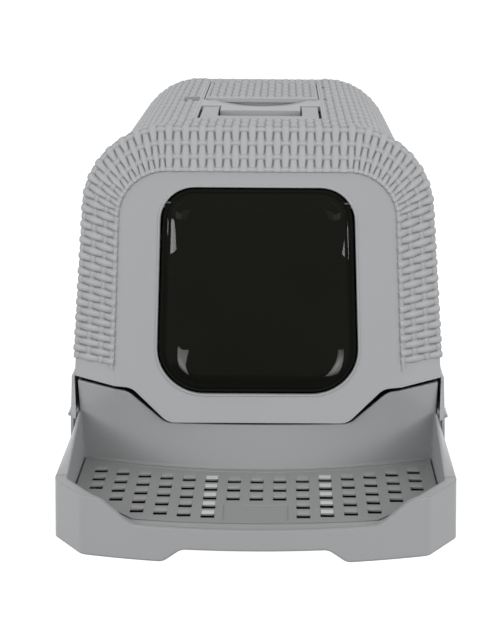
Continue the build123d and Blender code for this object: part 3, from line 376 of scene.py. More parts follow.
def section_point(section, part, t, foot_z):
    """Point (x, z) and outward normal on the right half of a cross-section."""
    foot_half, _, top_z, radius = section
    flat, _, side_top_z, lean = section_lengths(section)
    if part == 0:
        return Vector((flat * t, top_z)), Vector((0.0, 1.0))
    if part == 1:
        angle = (math.pi / 2 - lean) * t
        normal = Vector((math.sin(angle), math.cos(angle)))
        return Vector((flat, top_z - radius)) + normal * radius, normal
    z = side_top_z + (foot_z - side_top_z) * t
    x = foot_half - (z - FOOT_Z) * math.tan(lean)
    return Vector((x, z)), Vector((math.cos(lean), math.sin(lean)))


def split_length(section, u, foot_z):
    """Part and fraction of the cross-section at length u from the top centre."""
    flat, arc, side_top_z, lean = section_lengths(section)
    side = (side_top_z - foot_z) / math.cos(lean)
    if u <= flat:
        return 0, u / flat
    if u <= flat + arc:
        return 1, (u - flat) / arc
    return 2, min((u - flat - arc) / side, 1.0)


def half_length(section, foot_z):
    """Length from the top centre down to the foot of the weave."""
    flat, arc, side_top_z, lean = section_lengths(section)
    return flat + arc + (side_top_z - foot_z) / math.cos(lean)


class HoodSurface:
    """Outside of the hood: a point for each length along the arch and run from the bezel back."""

    def __init__(self, foot_z):
        self.foot_z = foot_z
        self.half = half_length(ARCH_SECTION, foot_z)

    def on_section(self, section, u):
        """Point (x, z) and normal of a cross-section where the stave at length u of the arch crosses it."""
        side = 1.0 if u >= 0 else -1.0
        if section is BEZEL_SECTION:
            part, t = split_length(ARCH_SECTION, abs(u), self.foot_z)
        elif section is ARCH_SECTION:
            part, t = split_length(section, abs(u), self.foot_z)
        else:
            reach = half_length(section, self.foot_z)
            flat = section_lengths(section)[0]
            own = abs(u)
            if own > flat:
                own = flat + (own - flat) * (reach - flat) / (self.half - flat)
            part, t = split_length(section, own, self.foot_z)
        point, normal = section_point(section, part, t, self.foot_z)
        return Vector((side * point.x, point.y)), Vector((side * normal.x, normal.y))

    def at(self, u, y):
        """Point and normal at length u of the arch and at y, between the bezel and the tail."""
        stops = [(BEZEL_Y, BEZEL_SECTION), (ARCH_Y, ARCH_SECTION), (RIM_END, ARCH_SECTION),
                 (BODY_START, BODY_SECTION), (TAIL_Y, TAIL_SECTION)]
        k = 0
        while k < len(stops) - 2 and y > stops[k + 1][0]:
            k += 1
        y0, low = stops[k]
        y1, high = stops[k + 1]
        t = (y - y0) / (y1 - y0)
        p0, n0 = self.on_section(low, u)
        p1, n1 = self.on_section(high, u)
        point = p0.lerp(p1, t)
        run = Vector((p1.x - p0.x, y1 - y0, p1.y - p0.y)).normalized()
        out = n0.lerp(n1, t)
        normal = Vector((out.x, 0.0, out.y))
        normal = (normal - run * normal.dot(run)).normalized()
        return Vector((point.x, y, point.y)), normal


STAVE_POINTS = 7            # points across a stave, as stave_columns gives them
LOW_SHARE = 0.72            # share of the height at a stave's shoulder
HIGH_SHARE = 0.95
HIGH_PLACE = 0.55           # where that share is reached, from the middle to the edge
HOOP_SHARE = 0.85           # share of the height at a hoop's shoulder
GAP_STEPS = (0.30, 0.5, 0.70)   # rows between two hoops
HOOP_OVER = 0.78            # share of a hoop's height at the edge of a stave that it covers
HOOP_UNDER = 0.62           # and beside a stave that covers it
SEAT = 0.00005              # gap under the woven relief


def stave_columns(width):
    """Offsets across a stave, with the share of its height at each."""
    half = width / 2
    foot = half + EDGE_FOOT
    shoulder = half - STAVE_SHOULDER
    high = half * HIGH_PLACE
    return [(-foot, 0.0), (-shoulder, LOW_SHARE), (-high, HIGH_SHARE), (0.0, 1.0),
            (high, HIGH_SHARE), (shoulder, LOW_SHARE), (foot, 0.0)]


def hoop_rows(places, half_width):
    """Rows along the staves: place, number of the hoop there or before it, and share of the hoop's height.

    The share is -1 between two hoops.
    """
    foot = half_width + EDGE_FOOT
    shoulder = half_width - HOOP_SHOULDER
    rows = []
    for j, place in enumerate(places):
        for offset, share in ((-foot, 0.0), (-shoulder, HOOP_SHARE), (0.0, 1.0), (shoulder, HOOP_SHARE),
                              (foot, 0.0)):
            rows.append((place + offset, j, share))
        if j + 1 < len(places):
            gap = places[j + 1] - place
            for t in GAP_STEPS:
                rows.append((place + gap * t, j, -1.0))
    return rows


def weave_heights(sizes, places, row, stave):
    """Width and lift of a stave at a row, the hoop's lift, and 1 if the stave is over it or -1 if under."""
    place, j, share = row
    if share >= 0:
        wave = math.cos(math.pi * (place - places[j]) / sizes.hoop_pitch)
    else:
        t = (place - places[j]) / (places[j + 1] - places[j])
        wave = math.cos(math.pi * t)
    over = 1.0 if (stave + j) % 2 == 0 else -1.0
    wave *= over
    middle = (sizes.crown + sizes.dip) / 2
    swing = (sizes.crown - sizes.dip) / 2
    lift = middle + swing * wave
    width = sizes.stave_width + sizes.stave_swell * wave
    hoop = sizes.hoop_rise * share if share >= 0 else 0.0
    return width, lift, hoop, over


def weave_patch(sizes, places, staves, place_point, keep, relief):
    """Vertices, faces and gap marks of a woven relief; a gap mark flags a face at the bottom of a gap, which
    gets painted shade.

    place_point(u, v) gives a base point and its normal, and relief(point) the share of the full height there.
    """
    rows = hoop_rows(places, sizes.hoop_width / 2)
    verts = []
    columns = 0
    for row in rows:
        line = []
        for stave in staves:
            centre = sizes.stave_start + stave * sizes.stave_pitch
            width, lift, hoop, over = weave_heights(sizes, places, row, stave)
            for offset, share in stave_columns(width):
                height = lift * share
                if hoop > 0:
                    if over < 0:
                        height = max(height, hoop * (HOOP_OVER + (1 - HOOP_OVER) * share))
                    elif share == 0.0:
                        height = hoop * HOOP_UNDER
                line.append((centre + offset, height))
        columns = len(line)
        for u, height in line:
            base, normal = place_point(u, row[0])
            verts.append(base + normal * (height * relief(base) + SEAT))
    faces = []
    seams = []
    for r in range(len(rows) - 1):
        for c in range(columns - 1):
            a = r * columns + c
            quad = (a, a + 1, a + columns + 1, a + columns)
            middle = (verts[quad[0]] + verts[quad[2]]) / 2
            if keep(middle):
                faces.append(quad)
                # flags a face at the bottom of a gap between hoops, which gets painted shade
                seams.append((c + 1) % STAVE_POINTS == 0 and rows[r][2] < 0)
    return verts, faces, seams


def add_weave(name, patch, body):
    """Woven relief with painted shade at the bottoms of its gaps, without the vertices that no face uses."""
    verts, faces, seams = patch
    obj = add_mesh(name, verts, faces, "Woven cover", body)
    obj.data.materials.append(finish_of("Weave seams"))
    # the flagged gap faces take painted shade
    obj.data.polygons.foreach_set("material_index", [int(seam) for seam in seams])
    bm = bmesh.new()
    bm.from_mesh(obj.data)
    loose = [v for v in bm.verts if not v.link_faces]
    bmesh.ops.delete(bm, geom=loose, context="VERTS")
    bm.to_mesh(obj.data)
    bm.free()


def doorway_ring(inset, steps=10):
    """Points (x, z) round the doorway with their outward normals, set in by inset."""
    lean = math.atan2(DOORWAY_LEAN, DOORWAY_TOP_Z - DOORWAY_SILL_Z)
    top = DOORWAY_TOP_Z - inset
    sill = DOORWAY_SILL_Z + inset
    top_half = DOORWAY_TOP_HALF - inset
    ring = []
    for z, radius, start, end in ((sill, DOORWAY_LOW_RADIUS - inset, -math.pi / 2, lean),
                                  (top, DOORWAY_TOP_RADIUS - inset, lean, math.pi / 2)):
        middle_z = z + radius if start < 0 else z - radius
        middle_x = top_half + (top - middle_z) * math.tan(lean) - radius / math.cos(lean)
        for k in range(steps + 1):
            angle = start + (end - start) * k / steps
            normal = Vector((math.cos(angle), 0.0, math.sin(angle)))
            ring.append((Vector((middle_x, 0.0, middle_z)) + normal * radius, normal))
    left = [(Vector((-p.x, 0.0, p.z)), Vector((-n.x, 0.0, n.z))) for p, n in reversed(ring)]
    return ring + left


def bead(name, stations, width, rise, closed, finish, body):
    """Half-round bead along stations of point, sideways direction and outward direction."""
    steps = 6
    verts = []
    for point, side, out in stations:
        for k in range(steps + 1):
            angle = math.pi * k / steps
            verts.append(point + side * (math.cos(angle) * width / 2) + out * (math.sin(angle) * rise))
    faces = []
    count = len(stations) if closed else len(stations) - 1
    for r in range(count):
        for k in range(steps):
            a = r * (steps + 1) + k
            b = ((r + 1) % len(stations)) * (steps + 1) + k
            faces.append((a, a + 1, b + 1, b))
    return add_mesh(name, verts, faces, finish, body)


def tile(low, high, chamfer):
    """Vertices and faces of a block with a chamfered top."""
    x0, y0, z0 = low
    x1, y1, z1 = high
    rings = ((0.0, z0), (0.0, z1 - chamfer), (chamfer, z1))
    verts = []
    for c, z in rings:
        verts += [Vector((x0 + c, y0 + c, z)), Vector((x1 - c, y0 + c, z)), Vector((x1 - c, y1 - c, z)),
                  Vector((x0 + c, y1 - c, z))]
    faces = [(8, 9, 10, 11), (3, 2, 1, 0)]
    for r in (0, 4):
        for k in range(4):
            a, b = r + k, r + (k + 1) % 4
            faces.append((a, b, b + 4, a + 4))
    return verts, faces


def join_tiles(blocks):
    """Vertices and faces of several blocks as one mesh."""
    verts = []
    faces = []
    for block_verts, block_faces in blocks:
        start = len(verts)
        verts += block_verts
        faces += [tuple(i + start for i in face) for face in block_faces]
    return verts, faces


def slot_places():
    """Column and centre of each slot in the grate."""
    middle = COLUMN_COUNT // 2
    places = []
    for column in range(COLUMN_COUNT):
        from_end = min(column, COLUMN_COUNT - 1 - column)
        rows = min(ROW_COUNT, END_ROWS + from_end)
        if abs(column - middle) <= PLAIN_COLUMNS:
            rows = ROW_COUNT - PLAIN_ROWS
        bow = ROW_BOW * ((column - middle) / middle) ** 2
        for row in range(rows):
            y = ARCH_Y - FIRST_ROW - row * ROW_PITCH + bow
            places.append((column, (column - middle) * COLUMN_PITCH, y))
    return places


def share_between(value, low, high):
    """How far value lies on its way from low to high, from 0 to 1."""
    return min(max((value - low) / (high - low), 0.0), 1.0)


def hoop_places(first, last, pitch):
    """Places of hoops from first on, short of last."""
    return [first + pitch * k for k in range(math.ceil((last - first) / pitch))]


def cad_surface(node):
    """Search tree over a moulded part's faces."""
    return BVHTree.FromObject(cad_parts[node], bpy.context.evaluated_depsgraph_get())


def snap(tree, point, normal):
    """Base point moved along its normal on to the moulded part."""
    hit, _, _, _ = tree.ray_cast(point + normal * SNAP_REACH, -normal, 2 * SNAP_REACH)
    return hit if hit else point


# ---- pieces ----


# finishes of the nodes that have neither steel nor the smooth cover
NODE_FINISHES = {"carry_handle": "Handle", "drawer_pan": "Drawer", "drawer_front": "Drawer",
                 "step_grate": "Grate", "door_flap": "Smoked plastic"}


class LITTERBOX_OT_finish_parts(bpy.types.Operator):
    """Give every moulded part and pin its finish."""

    bl_idname = "litter_box.finish_parts"
    bl_label = "Finish moulded parts"

    def execute(self, context):
        for node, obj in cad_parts.items():
            finish = NODE_FINISHES.get(node, "Pin steel" if node.endswith("_pins") else "Smooth cover")
            for slot in obj.material_slots:
                slot.material = finish_of(finish)
        return {"FINISHED"}


BAND_HOOPS = (0.055, 0.345, 0.655, 0.965)   # hoops of the front band, as shares of its width
RIM_HOOPS = 3               # hoops behind the arch edge that lie wider apart
RIM_HOOP_PITCH = 0.0175
TAIL_NEAR = 0.036           # hoops go on until one is this near to the back wall
UPPER_Z = 0.38              # the top lies above this level
FRAME_ROOM = 0.0045         # strip of the cover round the top frame that stays bare
FRAME_REAR_ROOM = 0.006
# the relief is lower on the top behind the arch rim, and lower still beside the top frame
RIM_FADE = (0.004, 0.016)   # behind the arch edge
TOP_FADE = (0.060, 0.015)   # below the flat top
FRAME_FADE = 0.005
TOP_LESS = 0.40
FRAME_LESS = 0.30


class LITTERBOX_OT_hood_weave(bpy.types.Operator):
    """Weave over the front band, the arch rim and the body of the hood."""

    bl_idname = "litter_box.hood_weave"
    bl_label = "Weave on the hood"

    def execute(self, context):
        sizes = context.scene.litter_box_weave
        surface = HoodSurface(sizes.foot_z)
        tree = cad_surface("hood_shell")
        count = int(surface.half / sizes.stave_pitch)
        band = math.hypot(ARCH_Y - BEZEL_Y, ARCH_TOP_Z - BEZEL_TOP_Z)
        body_places = [RIM_HOOP_PITCH * (k + 1) for k in range(RIM_HOOPS)]
        while body_places[-1] < TAIL_Y - ARCH_Y - TAIL_NEAR:
            body_places.append(body_places[-1] + sizes.hoop_pitch)
        places = [band * share for share in BAND_HOOPS] + [band + place for place in body_places]

        def on_hood(u, v):
            u = max(-surface.half, min(surface.half, u))
            if v < band:
                y = BEZEL_Y + (ARCH_Y - BEZEL_Y) * max(v / band, 0.0)
            else:
                y = ARCH_Y + v - band
            point, normal = surface.at(u, y)
            return snap(tree, point, normal), normal

        def outside_top(p):
            across = abs(p.x) < POCKET_HALF + FRAME_ROOM
            along = POCKET_FRONT_Y - FRAME_ROOM < p.y < HATCH_REAR_Y + FRAME_REAR_ROOM
            return p.z < UPPER_Z or not (across and along)

        def relief(p):
            behind = share_between(p.y - ARCH_Y, *RIM_FADE)
            up = share_between(TOP_Z - p.z, *TOP_FADE)
            away = max(abs(p.x) - POCKET_HALF - FRAME_ROOM, POCKET_FRONT_Y - FRAME_ROOM - p.y)
            near = 1.0 - share_between(away, 0.0, FRAME_FADE)
            return 1.0 - behind * up * (TOP_LESS + FRAME_LESS * near)

        patch = weave_patch(sizes, places, range(-count, count), on_hood, outside_top, relief)
        add_weave("hood_weave", patch, "shell")
        return {"FINISHED"}


BACK_BARE = 0.024           # bare strip round the woven field of the back
BACK_REACH = 0.026          # staves and hoops end this far from the sides and the top
BACK_FIRST = 0.004          # from the foot of the weave up to the lowest hoop


class LITTERBOX_OT_back_weave(bpy.types.Operator):
    """Weave on the hood's back wall."""

    bl_idname = "litter_box.back_weave"
    bl_label = "Weave on the back"

    def execute(self, context):
        sizes = context.scene.litter_box_weave
        tree = cad_surface("hood_shell")
        foot_half, top_half, top_z, radius = TAIL_SECTION
        places = hoop_places(sizes.foot_z + BACK_FIRST, top_z - BACK_REACH, sizes.hoop_pitch)
        count = int((foot_half - BACK_REACH) / sizes.stave_pitch)
        lean = (foot_half - top_half) / (top_z - FOOT_Z)
        corner = radius - BACK_BARE
        back = Vector((0.0, 1.0, 0.0))

        def on_back(u, v):
            return snap(tree, Vector((u, TAIL_Y, v)), back), back

        def inside_edges(p):
            side = foot_half - BACK_BARE - (p.z - FOOT_Z) * lean
            across = max(abs(p.x) - (side - corner), 0.0)
            up = max(p.z - (top_z - BACK_BARE - corner), 0.0)
            return abs(p.x) < side and math.hypot(across, up) < corner

        patch = weave_patch(sizes, places, range(-count, count), on_back, inside_edges, lambda p: 1.0)
        add_weave("back_weave", patch, "shell")
        return {"FINISHED"}


LID_BORDER = 0.008          # smooth strip at the front of the lid
LID_BORDER_INSET = 0.002
LID_BORDER_GAP = 0.0004
LID_BORDER_CHAMFER = 0.0008
LID_SIDE_BARE = 0.0035
LID_REAR_BARE = 0.003
LID_RELIEF = 0.75           # share of the full height of the weave
SUNK = 0.0002               # how deep the foot of a block lies in the face under it


class LITTERBOX_OT_lid_weave(bpy.types.Operator):
    """Weave on the hatch lid, and the smooth border at its front."""

    bl_idname = "litter_box.lid_weave"
    bl_label = "Weave on the lid"

    def execute(self, context):
        sizes = context.scene.litter_box_weave
        first = HATCH_FRONT_Y + LID_BORDER
        places = hoop_places(first, HATCH_REAR_Y - LID_REAR_BARE, sizes.hoop_pitch)
        half = HATCH_HALF - LID_SIDE_BARE
        count = int(half / sizes.stave_pitch) + 1

        def on_lid(u, v):
            return Vector((u, v, TOP_Z)), Vector((0.0, 0.0, 1.0))

        def inside_border(p):
            return abs(p.x) < half

        patch = weave_patch(sizes, places, range(-count, count), on_lid, inside_border,
                            lambda p: LID_RELIEF)
        add_weave("lid_weave", patch, "hatch")
        side = HATCH_HALF - LID_BORDER_INSET
        low = (-side, HATCH_FRONT_Y + LID_BORDER_GAP, TOP_Z - SUNK)
        high = (side, first + SUNK, TOP_Z + sizes.crown * LOW_SHARE)
        verts, faces = tile(low, high, LID_BORDER_CHAMFER)
        add_mesh("lid_border", verts, faces, "Smooth cover", "hatch", smooth=False)
        return {"FINISHED"}


# dark marks of painted shade for the thumb groove and the catch holes beside the lid
MARK_TOP = TOP_Z + 0.0022
GROOVE_X = (-0.0875, -0.0700)
GROOVE_Y = (HATCH_FRONT_Y - 0.014, HATCH_FRONT_Y + 0.006)
GROOVE_CHAMFER = 0.0006
HOLE_X = (0.0712, 0.0736)
HOLE_PLACES = (HATCH_FRONT_Y + 0.001, HATCH_FRONT_Y + 0.104)
HOLE_HALF = 0.0025
HOLE_CHAMFER = 0.0004


class LITTERBOX_OT_top_marks(bpy.types.Operator):
    """Dark marks of painted shade where the thumb groove and the two catch holes lie beside the lid."""

    bl_idname = "litter_box.top_marks"
    bl_label = "Marks beside the lid"

    def execute(self, context):
        # painted shade of the thumb groove
        verts, faces = tile((GROOVE_X[0], GROOVE_Y[0], TOP_Z), (GROOVE_X[1], GROOVE_Y[1], MARK_TOP),
                            GROOVE_CHAMFER)
        add_mesh("thumb_groove", verts, faces, "Weave seams", "shell", smooth=False)
        # painted shade of the two catch holes
        holes = [tile((HOLE_X[0], y - HOLE_HALF, TOP_Z), (HOLE_X[1], y + HOLE_HALF, MARK_TOP), HOLE_CHAMFER)
                 for y in HOLE_PLACES]
        verts, faces = join_tiles(holes)
        add_mesh("catch_holes", verts, faces, "Weave seams", "shell", smooth=False)
        return {"FINISHED"}


BEZEL_STEPS = 96
BEZEL_LINE_Y = BEZEL_Y + 0.0012     # middle of the bezel's bead
BEZEL_RUN = 0.002           # step back that gives the bead's sideways direction
BEZEL_WIDER = 1.5           # against the doorway's bead
BEZEL_HIGHER = 2.1
FRAME_LINE = 0.0041         # from the pocket's edge out to the middle of the frame's bead
FRAME_REAR_LINE = 0.0057
FRAME_RADIUS = 0.003
CORNER_STEPS = 3


class LITTERBOX_OT_beads(bpy.types.Operator):
    """Beads round the doorway, along the bezel and round the smooth frame in the top."""

    bl_idname = "litter_box.beads"
    bl_label = "Beads"

    def execute(self, context):
        details = context.scene.litter_box_details
        width, rise = details.bead_width, details.bead_rise
        ahead = Vector((0.0, -1.0, 0.0))
        stations = [(Vector((p.x, BEZEL_Y + HAIR, p.z)), n, ahead) for p, n in doorway_ring(-width / 2)]
        bead("doorway_bead", stations, width, rise, True, "Smooth cover", "shell")

        surface = HoodSurface(context.scene.litter_box_weave.foot_z)
        tree = cad_surface("hood_shell")
        stations = []
        for k in range(BEZEL_STEPS + 1):
            u = surface.half * (2 * k / BEZEL_STEPS - 1)
            point, normal = surface.at(u, BEZEL_LINE_Y)
            further, _ = surface.at(u, BEZEL_LINE_Y + BEZEL_RUN)
            stations.append((snap(tree, point, normal), (further - point).normalized(), normal))
        bead("bezel_bead", stations, BEZEL_WIDER * width, BEZEL_HIGHER * rise, False, "Smooth cover",
             "shell")

        half = POCKET_HALF + FRAME_LINE
        front = POCKET_FRONT_Y - FRAME_LINE
        rear = HATCH_REAR_Y + FRAME_REAR_LINE
        up = Vector((0.0, 0.0, 1.0))
        stations = []
        for x, y, start in ((half, rear, 0), (-half, rear, 90), (-half, front, 180), (half, front, 270)):
            inward = -FRAME_RADIUS if y == rear else FRAME_RADIUS
            middle = Vector((x - math.copysign(FRAME_RADIUS, x), y + inward, TOP_Z))
            for k in range(CORNER_STEPS + 1):
                angle = math.radians(start + 90 * k / CORNER_STEPS)
                out = Vector((math.cos(angle), math.sin(angle), 0.0))
                stations.append((middle + out * FRAME_RADIUS, out, up))
        bead("top_bead", stations, details.frame_width, rise, True, "Smooth cover", "shell")
        return {"FINISHED"}


# how far in from the foot of the dome, and how far it stands out there
DOME_PROFILE = ((0.0, 0.0), (0.0006, 0.0009), (0.0014, 0.0018), (0.0024, 0.00265), (0.004, 0.0040),
                (0.006, 0.00565), (0.008, 0.0072), (0.010, 0.00865), (0.012, 0.0100), (0.0135, 0.01085),
                (0.015, 0.0115), (0.017, 0.0121), (0.0195, 0.0126))
PILLOW_RINGS = 8
MERGE = 0.00002             # vertices closer than this become one


class LITTERBOX_OT_flap_skin(bpy.types.Operator):
    """Smooth swelling skin of the flap, over its stepped dome."""

    bl_idname = "litter_box.flap_skin"
    bl_label = "Skin of the flap"

    def execute(self, context):
        details = context.scene.litter_box_details
        rings = []
        for inset, height in DOME_PROFILE:
            y = FLAP_Y - height - HAIR
            rings.append([Vector((p.x, y, p.z)) for p, _ in doorway_ring(DOME_START + inset)])
        inner = rings[-1]
        middle_z = (DOORWAY_TOP_Z + DOORWAY_SILL_Z) / 2
        for k in range(1, PILLOW_RINGS + 1):
            scale = 1 - k / PILLOW_RINGS
            y = FLAP_Y - DOME_PROFILE[-1][1] - details.pillow * (1 - scale ** 2) - HAIR
            rings.append([Vector((p.x * scale, y, middle_z + (p.z - middle_z) * scale)) for p in inner])
        count = len(inner)
        verts = [p for ring in rings for p in ring]
        faces = []
        for r in range(len(rings) - 1):
            for k in range(count):
                a, b = r * count + k, r * count + (k + 1) % count
                faces.append((a, b, b + count, a + count))
        skin = add_mesh("flap_skin", verts, faces, "Smoked plastic", "door")
        bm = bmesh.new()
        bm.from_mesh(skin.data)
        bmesh.ops.remove_doubles(bm, verts=bm.verts, dist=MERGE)
        bmesh.ops.recalc_face_normals(bm, faces=bm.faces)
        bm.to_mesh(skin.data)
        bm.free()
        return {"FINISHED"}


# the pads of these columns are painted pale for the bright light seen in them
PALE_COLUMNS = (5, 10)      # columns of the grate with light pads, counted from the left
PAD_START = SLOT_LENGTH / 2 + 0.0004    # from the middle of a slot back to its pad
PAD_RISE = 0.0003
PAD_CHAMFER = 0.0002
# near-black sheet of painted shade on the floor of the sump
SUMP_SHADE_HALF = 0.170
SUMP_SHADE_Y = (-0.268, -0.140)
SUMP_SHADE_RISE = 0.0008
SUMP_SHADE_CHAMFER = 0.0003


class LITTERBOX_OT_grate_pads(bpy.types.Operator):
    """Shallow pads behind the slots of the grate, painted lighter for the lit far walls of the slots and pale
    in two columns for the bright light seen there, and a near-black sheet of painted shade in the sump.
    """

    bl_idname = "litter_box.grate_pads"
    bl_label = "Grate pads and mat"

    def execute(self, context):
        details = context.scene.litter_box_details
        pads = {"grate_pads": [], "pale_pads": []}
        for column, x, y in slot_places():
            start = y + PAD_START
            low = (x - details.pad_width / 2, start, FIELD_Z - SUNK)
            high = (x + details.pad_width / 2, start + details.pad_length, FIELD_Z + PAD_RISE)
            # pads in PALE_COLUMNS paint the bright light seen in those columns, the others paint the lit far
            # wall of their slot
            kind = "pale_pads" if column in PALE_COLUMNS else "grate_pads"
            pads[kind].append(tile(low, high, PAD_CHAMFER))
        for kind, finish in (("grate_pads", "Grate pads"), ("pale_pads", "Pale pads")):
            verts, faces = join_tiles(pads[kind])
            add_mesh(kind, verts, faces, finish, "grate", smooth=False)
        # painted shade: a near-black sheet on the floor of the sump
        verts, faces = tile((-SUMP_SHADE_HALF, SUMP_SHADE_Y[0], SUMP_Z - SUNK), (SUMP_SHADE_HALF, SUMP_SHADE_Y[1], SUMP_Z + SUMP_SHADE_RISE),
                            SUMP_SHADE_CHAMFER)
        add_mesh("sump_mat", verts, faces, "Sump liner", "drawer", smooth=False)
        return {"FINISHED"}


# ---- stage ----
FLOOR_GREY = (0.12, 0.12, 0.12, 1.0)
WHITE = (1.0, 1.0, 1.0, 1.0)
HORIZON = (-0.06, -0.02)    # slopes of view between which the ground turns into sky
LIGHT_TARGET = Vector((0.0, -0.15, 0.2))
LOW_TARGET = Vector((0.0, -0.2, 0.08))
LIGHT_PLACE = (1.3, -2.0, 0.75)     # right front light, and the left one mirrors it
LIGHT_SIZE = (1.3, 1.3)
LOW_PLACE = (1.5, -1.1, 0.55)
LOW_SIZE = (0.8, 0.5)
SENSOR_MM = 36.0
CLIP = (0.01, 100.0)
PANEL_REACH = 0.045         # from the flap's skin to its panels
# highlights of the flap: name, image pixels of the lower end, middle and upper end, and width of the panel
FLAP_HIGHLIGHTS = (
    ("flap_panel_low_left", ((186, 375), (181, 363), (181, 349)), 0.026),
    ("flap_panel_low_right", ((329, 376), (337, 365), (340, 350)), 0.037),
    ("flap_panel_high_left", ((174, 252), (172, 234), (170, 219)), 0.017),
    ("flap_panel_high_right", ((348, 259), (348, 237), (349, 225)), 0.026),
)


def make_floor(stage):
    """White floor that takes no shadow and throws no diffuse light on the box."""
    half = stage.floor_size / 2
    mesh = bpy.data.meshes.new("floor")
    mesh.from_pydata([(-half, -half, 0), (half, -half, 0), (half, half, 0), (-half, half, 0)], [],
                     [(0, 1, 2, 3)])
    floor = bpy.data.objects.new("floor", mesh)
    bpy.context.scene.collection.objects.link(floor)
    material, _, shader = new_material("Pale floor")
    shader.inputs["Base Color"].default_value = FLOOR_GREY
    shader.inputs["Roughness"].default_value = 0.9
    shader.inputs["Specular IOR Level"].default_value = 0.0
    shader.inputs["Emission Color"].default_value = WHITE
    shader.inputs["Emission Strength"].default_value = 1.0
    mesh.materials.append(material)
    floor.visible_diffuse = False


def make_sky(stage):
    """Even sky over a dark ground."""
    world = bpy.data.worlds.new("studio")
    bpy.context.scene.world = world
    world.use_nodes = True
    tree = world.node_tree
    sky = tree.nodes["Background"]
    sky.inputs["Color"].default_value = WHITE
    coords = tree.nodes.new("ShaderNodeTexCoord")
    split = tree.nodes.new("ShaderNodeSeparateXYZ")
    ramp = tree.nodes.new("ShaderNodeMapRange")
    ramp.inputs["From Min"].default_value = HORIZON[0]
    ramp.inputs["From Max"].default_value = HORIZON[1]
    ramp.inputs["To Min"].default_value = stage.ground
    ramp.inputs["To Max"].default_value = stage.sky
    tree.links.new(coords.outputs["Generated"], split.inputs["Vector"])
    tree.links.new(split.outputs["Z"], ramp.inputs["Value"])
    tree.links.new(ramp.outputs["Result"], sky.inputs["Strength"])


def make_camera(stage):
    """Camera at the place and angles in StageSizes."""
    data = bpy.data.cameras.new("camera")
    data.sensor_width = SENSOR_MM
    data.lens = stage.focal_px / max(IMAGE_SIZE) * data.sensor_width
    data.shift_x = -stage.shift_px / max(IMAGE_SIZE)
    data.clip_start, data.clip_end = CLIP
    camera = bpy.data.objects.new("camera", data)
    bpy.context.scene.collection.objects.link(camera)
    forward = Vector((-math.sin(stage.yaw) * math.cos(stage.pitch),
                      math.cos(stage.yaw) * math.cos(stage.pitch), -math.sin(stage.pitch)))
    right = Vector((math.cos(stage.yaw), math.sin(stage.yaw), 0.0))
    up = right.cross(forward)
    c, s = math.cos(stage.roll), math.sin(stage.roll)
    side = right * c + up * s
    top = up * c - right * s
    turn = Matrix((side, top, -forward)).transposed().to_4x4()
    camera.matrix_world = Matrix.Translation(Vector(stage.camera_at)) @ turn
    bpy.context.scene.camera = camera
    bpy.context.scene.view_settings.view_transform = "Standard"
    bpy.context.scene.view_settings.look = "None"
    return camera


def area_light(name, place, size, power):
    """Soft rectangular light that the camera does not see."""
    data = bpy.data.lights.new(name, "AREA")
    data.shape = "RECTANGLE"
    data.size, data.size_y = size
    data.energy = power
    light = bpy.data.objects.new(name, data)
    light.location = place
    light.visible_camera = False
    bpy.context.scene.collection.objects.link(light)
    return light


def make_lights(stage):
    """A pair of front lights and a pair of low side lights."""
    for side, sign, share in (("left", -1, stage.left_share), ("right", 1, 1.0)):
        for name, place, target, size, power in (
                ("light", LIGHT_PLACE, LIGHT_TARGET, LIGHT_SIZE, stage.key * share),
                ("low_light", LOW_PLACE, LOW_TARGET, LOW_SIZE, stage.side)):
            x, y, z = place
            light = area_light(f"{side}_{name}", (sign * x, y, z), size, power)
            light.rotation_euler = (target - light.location).to_track_quat("-Z", "Y").to_euler()


def mirrored_ray(camera, skin, tree, pixel):
    """Point of the flap's skin that a pixel shows, and the direction in which it is mirrored there."""
    data = camera.data
    x = (pixel[0] - IMAGE_SIZE[0] / 2) / max(IMAGE_SIZE) + data.shift_x
    y = (IMAGE_SIZE[1] / 2 - pixel[1]) / max(IMAGE_SIZE)
    ray = Vector((x * data.sensor_width, y * data.sensor_width, -data.lens))
    way = (camera.matrix_world.to_3x3() @ ray).normalized()
    point, _, face, _ = tree.ray_cast(camera.matrix_world.translation, way)
    corners = [skin.data.vertices[i] for i in skin.data.polygons[face].vertices]
    weights = poly_3d_calc([corner.co for corner in corners], point)
    normal = sum((corner.normal * weight for corner, weight in zip(corners, weights)), Vector())
    return point, way.reflect(normal.normalized())


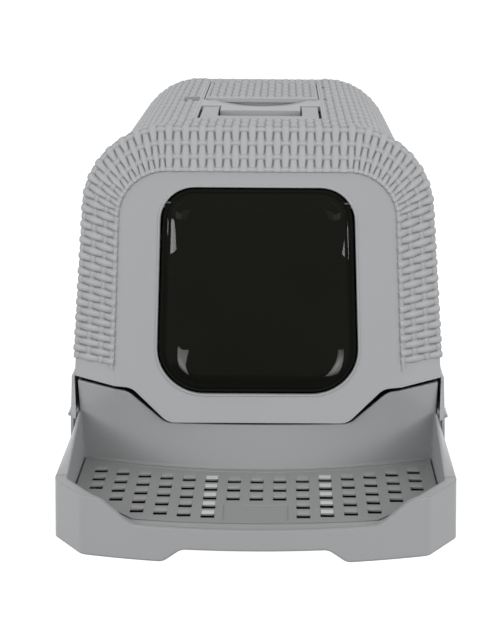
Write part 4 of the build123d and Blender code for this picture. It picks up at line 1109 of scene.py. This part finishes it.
def make_flap_panels(stage, camera):
    """Small panels that only the flap mirrors, one for each highlight."""
    skin = bpy.data.objects["flap_skin"]
    tree = BVHTree.FromObject(skin, bpy.context.evaluated_depsgraph_get())
    flap_only = bpy.data.collections.new("lit by the flap panels")
    flap_only.objects.link(skin)
    for name, pixels, width in FLAP_HIGHLIGHTS:
        low, (point, out), high = [mirrored_ray(camera, skin, tree, pixel) for pixel in pixels]
        centre = point + out * PANEL_REACH
        ends = [p + way * ((centre - p).dot(out) / way.dot(out)) for p, way in (low, high)]
        long_way = ends[1] - ends[0]
        size = (long_way.length, width)
        light = area_light(name, (ends[0] + ends[1]) / 2, size, stage.glow * math.pi * size[0] * size[1])
        across = out.cross(long_way).normalized()
        light.rotation_euler = Matrix((across.cross(out), across, out)).transposed().to_euler()
        light.data.spread = stage.glow_spread
        light.visible_diffuse = False
        light.visible_transmission = False
        light.light_linking.receiver_collection = flap_only


class LITTERBOX_OT_stage(bpy.types.Operator):
    """Floor, sky, camera and lights."""

    bl_idname = "litter_box.stage"
    bl_label = "Stage"

    def execute(self, context):
        stage = context.scene.litter_box_stage
        make_floor(stage)
        make_sky(stage)
        make_lights(stage)
        make_flap_panels(stage, make_camera(stage))
        return {"FINISHED"}


class LITTERBOX_PT_sidebar(bpy.types.Panel):
    """Buttons for each step of the litter box."""

    bl_idname = "LITTERBOX_PT_sidebar"
    bl_label = "Litter box"
    bl_space_type = "VIEW_3D"
    bl_region_type = "UI"
    bl_category = "Litter box"

    def draw(self, context):
        for step in STEPS:
            self.layout.operator(step.bl_idname)


STEPS = (
    LITTERBOX_OT_finish_parts,
    LITTERBOX_OT_hood_weave,
    LITTERBOX_OT_back_weave,
    LITTERBOX_OT_lid_weave,
    LITTERBOX_OT_top_marks,
    LITTERBOX_OT_beads,
    LITTERBOX_OT_flap_skin,
    LITTERBOX_OT_grate_pads,
    LITTERBOX_OT_stage,
)
GROUPS = {
    "litter_box_weave": WeaveSizes,
    "litter_box_details": DetailSizes,
    "litter_box_finishes": Finishes,
    "litter_box_stage": StageSizes,
}
CLASSES = (*GROUPS.values(), *STEPS, LITTERBOX_PT_sidebar)


def register():
    """Registers the property groups, operators and panel."""
    for kind in CLASSES:
        bpy.utils.register_class(kind)
    for name, group in GROUPS.items():
        setattr(bpy.types.Scene, name, PointerProperty(type=group))


def unregister():
    """Takes back what register added."""
    for name in GROUPS:
        delattr(bpy.types.Scene, name)
    for kind in reversed(CLASSES):
        bpy.utils.unregister_class(kind)


def main():
    """Makes every piece in order."""
    register()
    for step in STEPS:
        group, name = step.bl_idname.split(".")
        getattr(getattr(bpy.ops, group), name)()


if __name__ == "__main__":
    main()
